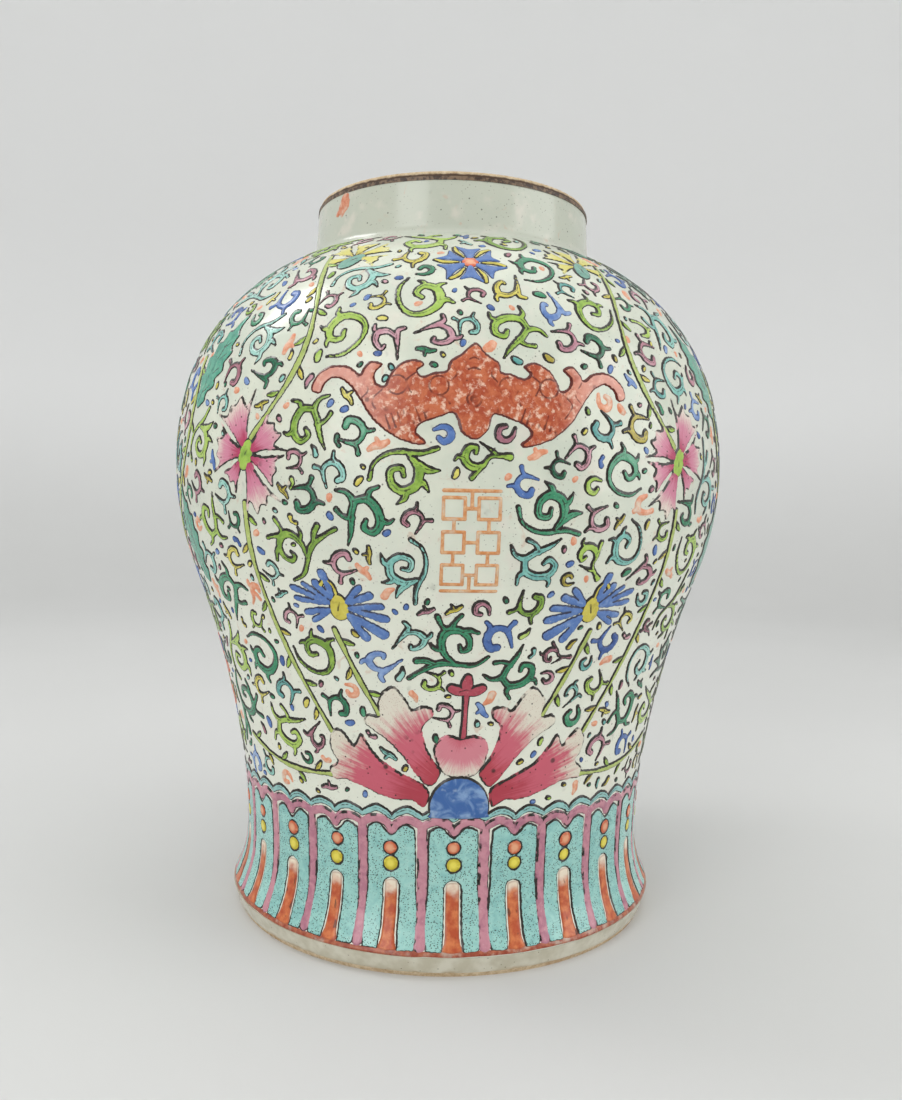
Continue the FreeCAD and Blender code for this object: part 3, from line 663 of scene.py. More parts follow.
COMMAS = (
    Motif(strokes=[smooth_path([(0.4, 2.0, 1.2), (0.6, 0, 1.1), (-0.4, -2.0, 0.4)], 4)]),
    Motif(strokes=[smooth_path([(-1.8, 0.4, 1.2), (0, 0.7, 0.9), (1.7, -0.8, 1.0)], 4)]),
    Motif(strokes=[smooth_path([(-0.6, -1.2, 1.0), (0.2, 0, 1.4), (0.5, 1.2, 1.1)], 4)]),
    Motif(strokes=[smooth_path([(0, -0.3, 0.9), (0.3, 0.5, 1.0)], 3)]),
)


def sheets(motifs, **options):
    return [Sheet(motif, **options) for motif in motifs]


def at_angle(degrees, distance):
    return distance * math.cos(math.radians(degrees)), distance * math.sin(math.radians(degrees))


def frond(aim, length, fingers, root, tip):
    """A petal that splits into fingers: (where it leaves, splay, length) of each."""
    base = np.array(at_angle(aim, PETAL_START))
    end = np.array(at_angle(aim, length))
    strokes = [smooth_path([(*base, root * 0.6), (*(base * 0.5 + end * 0.5), root), (*end, tip)], 5)]
    for where, splay, reach in fingers:
        leave = base + (end - base) * where
        half = leave + np.array(at_angle(aim + splay, reach * 0.6))
        out = half + np.array(at_angle(aim + splay * 0.6, reach * 0.4))
        strokes.append(smooth_path([(*leave, root * 0.9), (*half, tip * 1.2), (*out, tip)], 4))
    return strokes


def blue_petals():
    """Broad petals whose ends split into blunt fingers."""
    blobs = [fingers(122, 18.5, 42, 2, 0.44), fingers(160, 22.5, 36, 3, 0.48),
             fingers(200, 18.5, 32, 2, 0.52),
             fingers(32, 17.5, 40, 2, 0.46), fingers(-5, 20.5, 32, 2, 0.45), fingers(-42, 22.0, 38, 2, 0.50)]
    return Motif(blobs=blobs, root=(0, 0), reach=20)


def fingers(aim, length, spread, count, slit):
    """A petal with rounded fingers: slit is how far out the gaps between them start."""
    points = [at_angle(aim + spread * 0.35, 3.0), at_angle(aim + spread * 0.46, length * 0.5)]
    for number in range(count):
        middle = spread * (0.5 - (number + 0.5) / count)
        half = spread * 0.33 / count
        reach = length * (1 - 0.10 * ((number * 2 + int(aim)) % 3))
        points.append(at_angle(aim + middle + half, reach * 0.92))
        points.append(at_angle(aim + middle, reach))
        points.append(at_angle(aim + middle - half, reach * 0.90))
        if number < count - 1:
            points.append(at_angle(aim + spread * (0.5 - (number + 1) / count), length * slit))
    points += [at_angle(aim - spread * 0.46, length * 0.5), at_angle(aim - spread * 0.35, 3.0)]
    return smooth_path(points, 4, closed=True)


def bud(half_wide, half_tall, hook):
    """A swollen calyx with its short hooked stalk and a dark dash in its middle."""
    turn = np.linspace(0, 2 * math.pi, 22, endpoint=False)
    body = np.stack([half_wide * np.sin(turn) * (1 - 0.12 * np.cos(turn)), half_tall * np.cos(turn)], axis=1)
    dash = [(-0.5, -half_tall * 0.25, 0.25), (0.6, half_tall * 0.35, 0.3)]
    return Motif(strokes=[smooth_path(hook, 6)] if hook else (), blobs=[body], lines=[dash],
                 root=(0, half_tall), reach=half_tall * 2)


def fan(aim, length, spread, teeth, notch):
    """A fan-shaped petal with a jagged end, as a closed outline."""
    points = [at_angle(aim + spread * 0.5, 2.0)]
    points.append(at_angle(aim + spread * 0.42, length * 0.55))
    for number in range(2 * teeth + 1):
        lean = spread * (0.5 - number / (2 * teeth))
        reach = length * (1.0 if number % 2 == 0 else notch) * (1 - 0.06 * (number % 3))
        points.append(at_angle(aim + lean, reach))
    points.append(at_angle(aim - spread * 0.42, length * 0.55))
    points.append(at_angle(aim - spread * 0.5, 2.0))
    return smooth_path(points, 4, closed=True)


def fans(reach, *petals):
    """A flower of jagged petals, each given as (aim, length, spread, teeth, notch)."""
    return Motif(blobs=[fan(*petal) for petal in petals], root=(0, 0), reach=reach)


LOTUS_INNER = ((-7.7, 15.0), (-11.4, 21.0), (-14.3, 27.6), (-15.4, 34.5), (-11.8, 39.0), (-12.0, 42.8),
               (-16.0, 43.4), (-19.8, 42.0), (-22.4, 46.0), (-28.0, 51.6), (-33.6, 45.6), (-32.9, 38.8),
               (-37.6, 38.8), (-38.6, 34.6), (-30.0, 28.6), (-22.2, 20.6), (-12.6, 9.0))
LOTUS_OUTER = ((-12.6, 8.0), (-22.4, 13.6), (-31.3, 18.8), (-36.9, 25.0), (-40.6, 30.0), (-43.4, 24.8),
               (-47.4, 29.2), (-51.4, 31.2), (-54.6, 26.6), (-53.4, 20.4), (-50.8, 16.6), (-54.6, 13.0),
               (-52.8, 8.8), (-47.0, 9.0), (-40.6, 7.4), (-32.0, 4.2), (-24.6, 2.6), (-18.6, 2.8),
               (-13.6, 0.2))
HEART = ((0, 16.0), (-5.6, 16.6), (-9.3, 21.6), (-10.8, 27.4), (-9.0, 32.0), (-4.6, 33.8), (0, 32.6),
         (4.8, 33.8), (9.4, 31.6), (10.8, 27.0), (9.0, 20.8), (5.8, 16.5))


def left_and_right(outline):
    shape = smooth_path(outline, 4, closed=True)
    return [shape, shape * (-1, 1)]


def finial():
    return Motif(strokes=[smooth_path([(0.6, 33.5, 1.5), (0.9, 42, 1.2), (1.1, 51, 1.4)], 5),
                          smooth_path([(1.1, 52, 1.4), (-2.2, 53.0, 2.3), (-4.6, 54.0, 2.1)], 4),
                          smooth_path([(1.1, 52, 1.4), (4.6, 52.8, 2.3), (7.2, 54.0, 2.0)], 4),
                          smooth_path([(1.1, 52, 1.6), (1.2, 55.5, 2.6), (1.5, 58.4, 1.9)], 4)],
                 lines=[[(-1.6, 52.6, 0.12), (1.2, 53.4, 0.12)], [(1.2, 53.4, 0.12), (4.0, 52.6, 0.12)]],
                 root=(0.6, 33), reach=26)


BAT_HALF = ((0.6, 21.7), (4.4, 17.4), (8.8, 14.2), (9.9, 10.6), (14.0, 9.9), (18.4, 8.4), (20.6, 10.4),
            (18.2, 13.0), (22.4, 14.8), (27.9, 12.2), (31.0, 8.0), (32.6, 4.6), (35.8, 6.0), (36.4, 9.6),
            (33.6, 12.8), (37.6, 14.2), (40.6, 11.4), (42.2, 9.2), (46.5, 12.2), (53.5, 12.6), (59.4, 9.0),
            (61.4, 3.8), (57.6, 2.4), (55.8, 6.0), (51.6, 8.2), (46.5, 5.8), (41.6, -0.4), (36.7, -7.5),
            (28.8, -13.7), (19.9, -16.6), (17.2, -15.6), (20.8, -12.2), (19.0, -9.0), (12.8, -6.6),
            (8.0, -5.0), (6.2, -6.8), (4.6, -11.6), (0, -14.4))


def ring_line(x, y, radius, pen=0.26, start=0, stop=360):
    turn = np.radians(np.linspace(start, stop, 20))
    return np.stack([x + radius * np.cos(turn), y + radius * np.sin(turn), np.full(20, pen)], axis=1)


def bat():
    right = list(BAT_HALF)
    left = [(-x, y) for x, y in reversed(BAT_HALF)][1:-1]
    curls = (((33, 3.4, 0.2), (37, -1.0, 0.22), (34, -6, 0.2)),
             ((41, 8.0, 0.2), (38.5, 3.0, 0.22), (41, 0, 0.2)),
             ((21, 9.6, 0.2), (24.4, 6.4, 0.26), (22.6, 2.0, 0.2)),
             ((8, 13, 0.2), (6.2, 9.4, 0.26), (8.4, 6.6, 0.2)),
             ((8, -5, 0.3), (14, -8.2, 0.42), (20, -10.4, 0.3)))
    lines = [ring_line(0, 0, 2.6, 0.3), ring_line(0, 0, 1.0, 0.5)]
    for side in (-1, 1):
        lines.append(ring_line(side * 12.6, 4.8, 3.6))
        lines.append(ring_line(side * 27.8, 5.0, 3.6))
        lines.append(ring_line(side * 12.8, -3.4, 4.4, 0.26, 20, 200))
        for curl in curls:
            lines.append(smooth_path([(side * x, y, pen) for x, y, pen in curl], 5))
        for number in range(7):
            x, y = 17 + 2.2 * number, -4.6 - 0.55 * number
            lines.append([(side * x, y - 3.2, 0.36), (side * (x + 1.8), y + 1.8, 0.14)])
    for height, reach in ((15.0, 1.6), (11.0, 2.2), (6.8, 2.8)):
        lines.append(smooth_path([(-reach, height, 0.2), (0, height + 0.7, 0.3), (reach, height, 0.2)], 4))
    outline = smooth_path(right + left, 4, closed=True)
    return Motif(blobs=[outline], lines=lines, root=(0, -4), reach=62)


def fret():
    """A plain lattice of linked squares between level bars, painted with a thin brush."""
    pen, half, across, up = 0.6, 3.9, 6.4, 12.6
    strokes = []

    def bar(ax, ay, bx, by):
        strokes.append([(ax, ay, pen), (bx, by, pen * 0.85)])

    for x in (-across, across):
        for y in (-up, 0, up):
            bar(x - half, y - half, x + half, y - half)
            bar(x - half, y + half, x + half, y + half)
            bar(x - half, y - half, x - half, y + half)
            bar(x + half, y - half, x + half, y + half)
        for y in (-up / 2, up / 2):
            bar(x, y - up / 2 + half, x, y + up / 2 - half)
    for y in (-up, 0, up):
        bar(-across + half, y, across - half, y)
    for side in (-1, 1):
        bar(-across - half, side * (up + half + 2.6), across + half, side * (up + half + 2.6))
        bar(0, side * up, 0, side * (up + half + 2.6))
    return Motif(strokes=strokes)


# ---------------------------------------------------------------- where the large motifs lie

class Crowd:
    """Keeps account of the painted places, so that the scrolls fill what is left."""

    STEP = 0.6

    def __init__(self):
        self.rows = int(RUN[-1] / self.STEP) + 2
        self.columns = int(2 * math.pi * WIDEST / self.STEP)
        self.busy = np.zeros((self.rows, self.columns), bool)

    def cells(self, angles, run):
        row = np.clip((run / self.STEP).astype(int), 0, self.rows - 1)
        column = (angles / (2 * math.pi) * self.columns).astype(int) % self.columns
        return row, column

    def mark(self, angles, run, gap):
        """Marks the points and everything within gap of them."""
        row, column = self.cells(angles, run)
        reach = int(math.ceil(gap / self.STEP))
        wide = np.clip(WIDEST / radius_at(row * self.STEP), 1, 2.5)
        for up in range(-reach, reach + 1):
            for over in range(-reach * 2, reach * 2 + 1):
                near = np.hypot(up, over / wide) <= reach
                self.busy[np.clip(row[near] + up, 0, self.rows - 1),
                          (column[near] + over) % self.columns] = True

    def free(self, angles, run):
        row, column = self.cells(angles, run)
        return not self.busy[row, column].any()


crowd = Crowd()


def laid(sheet, angle, height, turn, size, flip):
    """Where a sheet's inner points fall: angles and distances along the outline."""
    x = sheet.kept[:, 0] * (-1 if flip else 1)
    y = sheet.kept[:, 1]
    c, s = math.cos(math.radians(turn)), math.sin(math.radians(turn))
    run = run_of(height) + (y * c - x * s) * size
    return math.radians(angle) + (x * c + y * s) * size / radius_at(run), run


def put(batch, sheet, angle, height, turn=0.0, size=1.0, flip=False, gap=2.2):
    """Lays a large motif and keeps its place clear of scrolls."""
    batch.add(sheet, angle, height, turn, size, flip)
    crowd.mark(*laid(sheet, angle, height, turn, size, flip), gap)


# ---------------------------------------------------------------- lappets

CELL = 360.0 / LAPPETS
TILE_RADIUS = 97.5
TILE_HALF = math.pi * TILE_RADIUS / LAPPETS
LAPPET_SHIFT = 1.0
TONGUE_TOP = 36.5
PANEL_TOP, FRAME_TOP, CREST_TOP = 60.4, 64.2, 68.0
RIB = 2.15


def mirrored(left):
    """A left half's points, whose last one lies on the middle, and then the same points to the right."""
    return list(left) + [(-x, *rest) for x, *rest in reversed(left[:-1])]


def lobed(half, foot, top, dip, shoulder):
    """An upright panel whose head has two humps with a dip between them."""
    return mirrored(((-half, foot), (-half * 1.02, (foot + top) / 2), (-half, top - shoulder),
                     (-half * 0.88, top - 1.3), (-half * 0.5, top), (-half * 0.18, top - dip * 0.7),
                     (0, top - dip)))


def tile_motifs(uneven, rng):
    """The pieces of one lappet, each a little different from its neighbours."""
    lean = rng.uniform(-0.7, 0.7)
    rise = rng.uniform(-0.9, 0.9)
    half = TILE_HALF - RIB - 0.1 + uneven
    foot = GLAZE_FOOT + 2.0
    head = PANEL_TOP + rise
    panel = smooth_path([(x + lean * (y - foot) / 50, y) for x, y in lobed(half, foot, head, 4.4, 4.6)], 4,
                        True)
    panel = np.clip(panel, (-FAR, foot - 0.3), (FAR, FAR))
    tongue_wide = 2.7 + rng.uniform(-0.3, 0.35)
    tongue_top = TONGUE_TOP + rng.uniform(-1.6, 1.2)
    tongue = [(-tongue_wide * 1.3, foot), (-tongue_wide, foot + 5), (-tongue_wide * 0.96, tongue_top - 2),
              (-tongue_wide * 0.75, tongue_top), (tongue_wide * 0.7, tongue_top + 0.3),
              (tongue_wide, tongue_top - 2.2), (tongue_wide * 1.02, foot + 5), (tongue_wide * 1.35, foot)]
    tongue = smooth_path([(x + lean * 0.5, y) for x, y in tongue], 4, True)
    halo = [(lean * 0.5, foot - 2, tongue_wide + 1.5), (lean * 0.5, foot + 6, tongue_wide + 0.75),
            (lean * 0.5, tongue_top - tongue_wide + 0.5, tongue_wide + 0.75)]
    coral = (lean + rng.uniform(-0.4, 0.4), 51.2 + rng.uniform(-0.6, 0.6), 2.9 + rng.uniform(-0.3, 0.3))
    yellow = (lean + rng.uniform(-0.5, 0.5), 44.0 + rng.uniform(-0.7, 0.7), 2.8 + rng.uniform(-0.3, 0.4))
    return panel, tongue, halo, coral, yellow, lean, rise


def dab(x, y, radius):
    return np.array([(x, y, radius), (x + 0.2, y + 0.1, radius * 0.97)])


def arch_of(foot, top, rise, lean, pen):
    """The upright on a lappet's right and the two scallops over it, as strokes."""
    middle = TILE_HALF
    upright = smooth_path([(middle + lean * 0.1, foot, pen * 1.15), (middle, foot + 18, pen * 0.95),
                           (middle + 0.1, top - 16, pen), (middle, top - 3.5, pen * 0.9)], 4)
    scallop = [(-middle, top - 3.2, 1.5), (-middle * 0.86, top - 1.4, 1.7),
               (-middle * 0.5, top + rise * 0.5, 1.7), (-middle * 0.16, top - 1.8, 1.8),
               (0.0, top - 4.6, 1.6)]
    return [upright, smooth_path(mirrored(scallop), 4)]


def crest_of(rise):
    middle = TILE_HALF
    top = CREST_TOP - 1.5
    line = [(-middle, top - 2.4, 1.3), (-middle * 0.82, top - 1.1, 1.5),
            (-middle * 0.5, top + 0.4 + rise * 0.4, 1.7), (-middle * 0.18, top - 1.0, 1.5),
            (0, top - 2.8, 1.3)]
    return smooth_path(mirrored(line), 4)


def make_lappets():
    rng = np.random.default_rng(24)
    panels, frames, crest = Batch("lappet_fields"), Batch("lappet_ribs"), Batch("lappet_border")
    tongues, coral_beads, yellow_beads = Batch("tongues"), Batch("coral_beads"), Batch("yellow_beads")
    fine = {"step": 0.5, "ink": 0.22}
    for number in range(LAPPETS):
        turn = number * CELL - LAPPET_SHIFT
        panel, tongue, halo, coral, yellow, lean, rise = tile_motifs(rng.uniform(-0.4, 0.25), rng)
        tint = rng.uniform(0.2, 0.8)
        holes = [halo, dab(coral[0], coral[1], coral[2] - 0.1), dab(yellow[0], yellow[1], yellow[2] - 0.1)]
        lay = {"angle": turn, "height": 0.0, "tile": TILE_RADIUS}
        panels.add(Sheet(Motif(blobs=[panel], holes=holes), swell=0.35, seed=number, sway=0.12, **fine),
                   tint=tint, **lay)
        tongues.add(Sheet(Motif(blobs=[tongue], root=(0, 4), reach=TONGUE_TOP - 4), swell=0.3, **fine),
                    tint=rng.uniform(0.3, 0.7), **lay)
        coral_beads.add(Sheet(Motif(strokes=[dab(*coral)], root=coral[:2], reach=3), swell=0.7, **fine),
                        **lay)
        yellow_beads.add(Sheet(Motif(strokes=[dab(*yellow)], root=yellow[:2], reach=3), swell=0.6, **fine),
                         **lay)
        strokes = arch_of(GLAZE_FOOT + 2.0 + RIB, FRAME_TOP - 1.7, rise, lean, RIB)
        frames.add(Sheet(Motif(strokes=strokes), swell=0.5, sway=0.1, seed=number, **fine), tint=tint, **lay)
        crest.add(Sheet(Motif(strokes=[crest_of(rise)], vein=True), swell=0.45, sway=0.1, seed=number,
                        **fine), **lay)
    return panels, frames, crest, tongues, coral_beads, yellow_beads


# ---------------------------------------------------------------- large painted motifs

def star_gaps():
    strokes = []
    for number in range(6):
        aim = 60 + 60 * number
        strokes.append(smooth_path([(*at_angle(aim, 4.8), 0.7), (*at_angle(aim, 10), 1.2),
                                    (*at_angle(aim - 6, 13.5), 1.0)], 4))
    return Motif(strokes=strokes, root=(0, 0), reach=14)


def red_fronds():
    strokes = []
    for aim, length in ((70, 21), (122, 17), (20, 16), (-42, 17), (-94, 20), (196, 15)):
        strokes += frond(aim, length, ((0.35, 24, 7.0), (0.5, -22, 6.5), (0.68, 18, 4.0)), 1.8, 0.9)
    return Motif(strokes=strokes, root=(0, 0), reach=21)


def leaf():
    """A long toothed leaf with a middle vein."""
    side = ((0, -22), (4.6, -17), (4.0, -13.5), (8.0, -9), (6.4, -6), (9.4, -1), (7.0, 2), (8.6, 7),
            (5.4, 9),
            (5.4, 14), (2.6, 16), (0, 24))
    outline = list(side) + [(-x, y - 1.5) for x, y in reversed(side[1:-1])]
    vein = smooth_path([(0, -20, 0.3), (0.6, 0, 0.25), (0, 20, 0.1)], 6)
    ribs = [smooth_path([(0.3, y - 3, 0.15), (side_sign * 3, y, 0.12), (side_sign * 5.6, y + 3.4, 0.08)], 4)
            for y in (-12, -5, 2, 9) for side_sign in (-1, 1)]
    return Motif(blobs=[smooth_path(outline, 4, closed=True)], lines=[vein, *ribs], root=(0, -22), reach=46)


# Places on the right half of a side, as degrees from its middle and height. The left half mirrors them.
STAR = (0, 283)
YELLOW = (29, 286)
PINK = (41, 209)
BLUE = (25, 150)
SIDE_BLOSSOM = (82, 108)
UPPER_LEAF = (56, 248)
LOWER_LEAF = (65, 174)
LOTUS_SHOULDER = (30, 98)
UNEVEN_TURN, UNEVEN_UP = 1.0, 1.5
STEM_RADIUS = 112.0
STEM_BENDS = 7


def beside(place_of, turn, up):
    return place_of[0] + turn, place_of[1] + up


def vine(start, stop, bow, sway=0.0):
    """A stem's route between two places: it bows by so many millimetres to its right, and sways in an S."""
    first = np.array((math.radians(start[0]) * STEM_RADIUS, start[1]))
    last = np.array((math.radians(stop[0]) * STEM_RADIUS, stop[1]))
    along = last - first
    right = np.array((along[1], -along[0])) / math.hypot(*along)
    route = []
    for t in np.linspace(0, 1, STEM_BENDS):
        aside = bow * math.sin(math.pi * t) + sway * math.sin(2 * math.pi * t)
        route.append(first + along * t + right * aside)
    return route


VINES = (
    vine(beside(YELLOW, 7, 3), beside(PINK, -1, 5), bow=15),
    vine(beside(PINK, 1, -20), LOTUS_SHOULDER, bow=-9),
    vine(beside(LOTUS_SHOULDER, 31, -11), beside(LOTUS_SHOULDER, 1, -19), bow=-4),
    vine(beside(BLUE, 1, -9), beside(LOTUS_SHOULDER, -12, 9), bow=-1),
    vine(beside(UPPER_LEAF, 6, 2), beside(SIDE_BLOSSOM, 0, 20), bow=0, sway=9),
)


def stem_sheet(points):
    """A vine, thick at its foot, with a slight tremble."""
    path = [(x, z, 1.2 + 0.25 * math.sin(2.2 * n)) for n, (x, z) in enumerate(points)]
    line = smooth_path(path, 8)
    low = line[:, 1].min()
    line[:, 1] -= low
    motif = Motif(strokes=[line])
    return Sheet(motif, step=0.5, ink=0.25, swell=0.45, sway=0.1), low


NECK_SMEAR = (-52, 321)
LOTUS_UP, HEART_DROP = 68.6, 2.5
BAT_UP, FRET_UP = 227.5, 176.0


def dress_vines(batches, side, half):
    """Small leaves and yellow buds that sit against the vines, now on one hand, now on the other."""
    bract = Sheet(Motif(strokes=[smooth_path([(-0.6, -2.6, 0.5), (0.2, -0.4, 1.3), (1.6, 1.8, 0.7)], 4)],
                        vein=True),
                  step=0.4)
    for points in VINES:
        path = smooth_path([(half * x, z, 0) for x, z in points], 8)
        gone = np.concatenate([[0], np.cumsum(np.hypot(*np.diff(path[:, :2], axis=0).T))])
        for number, far in enumerate(np.arange(7, gone[-1] - 5, 11.5)):
            x, z = (np.interp(far, gone, path[:, column]) for column in (0, 1))
            ahead = [np.interp(far + 1, gone, path[:, column]) for column in (0, 1)]
            aim = math.degrees(math.atan2(ahead[0] - x, ahead[1] - z))
            hand = 1 if number % 2 else -1
            across = hand * 2.7
            over = across * math.cos(math.radians(aim))
            angle = math.degrees(x / STEM_RADIUS) + math.degrees(over / STEM_RADIUS)
            name = "buds" if number % 3 == 1 else "bracts"
            up = z - across * math.sin(math.radians(aim))
            put(batches[name], bract, side + angle, up, aim + 20 * hand, flip=hand < 0, gap=1.2)


def make_flowers():
    batches = {name: Batch(name) for name in (
        "bosses", "hearts", "finials", "inner_petals", "outer_petals", "bats", "frets", "blue_fringes",
        "blue_calyxes", "pink_fans", "green_calyxes", "yellow_fans", "teal_calyxes", "stars", "star_yellow",
        "star_middles", "red_fringes", "leaves", "stems", "smears", "bracts", "buds")}
    boss_turn = np.linspace(-0.35, math.pi + 0.35, 24)
    boss = np.stack([12.2 * np.cos(boss_turn), 13.6 * np.sin(boss_turn)], axis=1)
    petal = {"ink": 0.3, "swell": 0.5, "sway": 0.18}
    lotus = (
        ("bosses", Sheet(Motif(blobs=[smooth_path(boss, 3, True)], root=(0, 0), reach=13), swell=0.9,
                         bevel=3)),
        ("hearts", Sheet(Motif(blobs=[smooth_path(HEART, 4, True)], root=(0, 34), reach=19), **petal)),
        ("finials", Sheet(finial(), ink=0.25, step=0.4)),
        ("inner_petals", Sheet(Motif(blobs=left_and_right(LOTUS_INNER), root=(0, 6), reach=46), **petal)),
        ("outer_petals", Sheet(Motif(blobs=left_and_right(LOTUS_OUTER), root=(0, 2), reach=54), **petal)),
    )
    blue = Sheet(blue_petals(), ink=0.25, step=0.42, sway=0.15)
    pink_petals = fans(22, (112, 23, 56, 3, 0.84), (170, 20, 56, 3, 0.82), (30, 19, 54, 3, 0.84),
                       (-22, 18, 40, 2, 0.84), (-70, 23, 48, 3, 0.82), (226, 15, 40, 2, 0.84))
    yellow_petals = fans(19, (100, 17, 44, 2, 0.84), (152, 19, 40, 2, 0.82), (44, 18, 42, 2, 0.84),
                         (206, 15, 34, 2, 0.84), (-6, 16, 36, 2, 0.84))
    star_petals = fans(15, *((90 + 60 * number, 15 - 1.2 * (number % 2), 42, 1,
                              0.78) for number in range(6)))
    pink = Sheet(pink_petals, ink=0.28, sway=0.15)
    yellow = Sheet(yellow_petals, ink=0.28, sway=0.15)
    red = Sheet(red_fronds(), ink=0.25, sway=0.15)
    calyx = Sheet(bud(4.3, 5.8, [(-0.4, 4.5, 1.1), (-1.4, 9.0, 0.9), (-4.4, 11.2, 0.9), (-6.6, 9.0, 1.2)]),
                  step=0.4)
    oval = Sheet(bud(4.0, 6.6, None), step=0.4)
    long_leaf = Sheet(leaf(), ink=0.28, sway=0.2)
    vines = [stem_sheet(points) for points in VINES]
    rng = np.random.default_rng(11)
    emblem = Sheet(bat(), step=0.42, ink=0.3, swell=0.55, bevel=1.6, sway=0.12)
    medallion = Sheet(fret(), step=0.34, ink=0.15, swell=0.35, bevel=0.6)
    for side in SIDES:
        for name, sheet in lotus:
            drop = HEART_DROP if name in ("hearts", "finials") else 0
            put(batches[name], sheet, side, LOTUS_UP - drop, gap=1.6)
        put(batches["bats"], emblem, side, BAT_UP, gap=1.8)
        put(batches["frets"], medallion, side, FRET_UP, gap=3.2)
        star_at = (side + STAR[0], STAR[1])
        put(batches["stars"], Sheet(star_petals, step=0.42), *star_at)
        put(batches["star_yellow"], Sheet(star_gaps(), step=0.42), *star_at)
        put(batches["star_middles"], Sheet(Motif(strokes=[dab(0, 0, 3.4)], root=(0, 0), reach=3)), *star_at)
        for half in (-1, 1):

            def at(place_of):
                """The place on this half, a little off its twin, as a painter leaves it."""
                turn = place_of[0] + rng.uniform(-UNEVEN_TURN, UNEVEN_TURN)
                return side + half * turn, place_of[1] + rng.uniform(-UNEVEN_UP, UNEVEN_UP)

            flip = half > 0
            angle, height = at(BLUE)
            put(batches["blue_calyxes"], calyx, angle, height, flip=flip, gap=1.2)
            put(batches["blue_fringes"], blue, angle, height, flip=flip, gap=1.4)
            angle, height = at(PINK)
            put(batches["green_calyxes"], oval, angle, height, 20, flip=flip, gap=1.2)
            put(batches["pink_fans"], pink, angle, height, size=1.1, flip=flip, gap=1.4)
            angle, height = at(YELLOW)
            put(batches["teal_calyxes"], oval, angle, height - 2, 30 - 12 * half, flip=flip, gap=1.2)
            put(batches["yellow_fans"], yellow, angle, height, -12 * half, size=0.9, flip=flip, gap=1.4)
            put(batches["leaves"], long_leaf, *at(UPPER_LEAF), -27 * half, flip=flip, gap=1.6)
            put(batches["leaves"], long_leaf, *at(LOWER_LEAF), 15 * half, flip=flip, gap=1.6)
            for sheet, low in vines:
                batches["stems"].add(sheet, side, low, flip=half < 0, tile=STEM_RADIUS)
                angles = math.radians(side) + half * sheet.kept[:, 0] / STEM_RADIUS
                crowd.mark(angles, run_of(low + sheet.kept[:, 1]), 1.6)
            dress_vines(batches, side, half)
    smear = Motif(strokes=[smooth_path([(-1.2, -3.2, 1.6), (0.2, 0.4, 3.4), (1.6, 3.4, 1.8)], 4),
                           dab(-4.4, -3.4, 1.2)])
    batches["smears"].add(Sheet(smear, sway=0.35, swell=0.15, seed=5), *NECK_SMEAR)
    for half in (-1, 1):
        put(batches["blue_calyxes"], oval, half * SIDE_BLOSSOM[0], SIDE_BLOSSOM[1], flip=half > 0, gap=1.2)
        put(batches["red_fringes"], red, half * SIDE_BLOSSOM[0], SIDE_BLOSSOM[1], flip=half > 0, gap=1.4)
    return batches


# ---------------------------------------------------------------- the crowd of small scrolls

COLOURS = ("scroll_green", "scroll_lime", "scroll_teal", "scroll_mauve", "scroll_cobalt", "scroll_gold",
           "scroll_coral")
GRAND_SHARE = np.array((0.26, 0.42, 0.32, 0.0, 0.0, 0.0, 0.0))
LARGE_SHARE = np.array((0.18, 0.18, 0.20, 0.26, 0.10, 0.08, 0.0))
SMALL_SHARE = np.array((0.12, 0.12, 0.18, 0.20, 0.16, 0.14, 0.08))
DOT_SHARE = np.array((0.22, 0.06, 0.06, 0.08, 0.24, 0.24, 0.10))
FIELD_FOOT = CREST_TOP + 1.5
FIELD_TOP = 300.0
NEAR_UP, NEAR_TURN = 22, 0.19
REPEAT_WEIGHT = 0.12


def pick_colour(rng, share, near):
    weight = share.copy()
    for colour in near:
        weight[colour] *= REPEAT_WEIGHT
    return rng.choice(len(share), p=weight / weight.sum())


def turn_between(a, b):
    """The angle between two directions, the short way round."""
    return abs((a - b + math.pi) % (2 * math.pi) - math.pi)


def scatter(rng, batches, stock, share, gap, sizes, step, known, tries):
    """Goes over the field in random order and lays a scroll wherever one fits."""
    places = []
    for run in np.arange(run_of(FIELD_FOOT), run_of(FIELD_TOP), step):
        around = int(2 * math.pi * radius_at(run) / step)
        places += [(2 * math.pi * (n + rng.uniform(-0.4, 0.4)) / around, run + rng.uniform(-0.4, 0.4) * step)
                   for n in range(around)]
    for index in rng.permutation(len(places)):
        angle, run = places[index]
        height = float(np.interp(run, RUN, HEIGHTS))
        if not crowd.free(np.array([angle]), np.array([run])):
            continue
        for _ in range(tries):
            sheet = stock[rng.integers(len(stock))]
            turn = rng.uniform(0, 360)
            size = rng.uniform(*sizes)
            flip = bool(rng.integers(2))
            angles, runs = laid(sheet, math.degrees(angle), height, turn, size, flip)
            outside = runs.min() < run_of(FIELD_FOOT) or runs.max() > run_of(FIELD_TOP) + 4
            if outside or not crowd.free(angles, runs):
                continue
            near = [colour for a, r, colour in known
                    if abs(r - run) < NEAR_UP and turn_between(a, angle) < NEAR_TURN]
            colour = pick_colour(rng, share, near)
            batches[COLOURS[colour]].add(sheet, math.degrees(angle), height, turn, size, flip,
                                         rng.uniform(0, 1))
            crowd.mark(angles, runs, gap)
            known.append((angle, run, colour))
            break


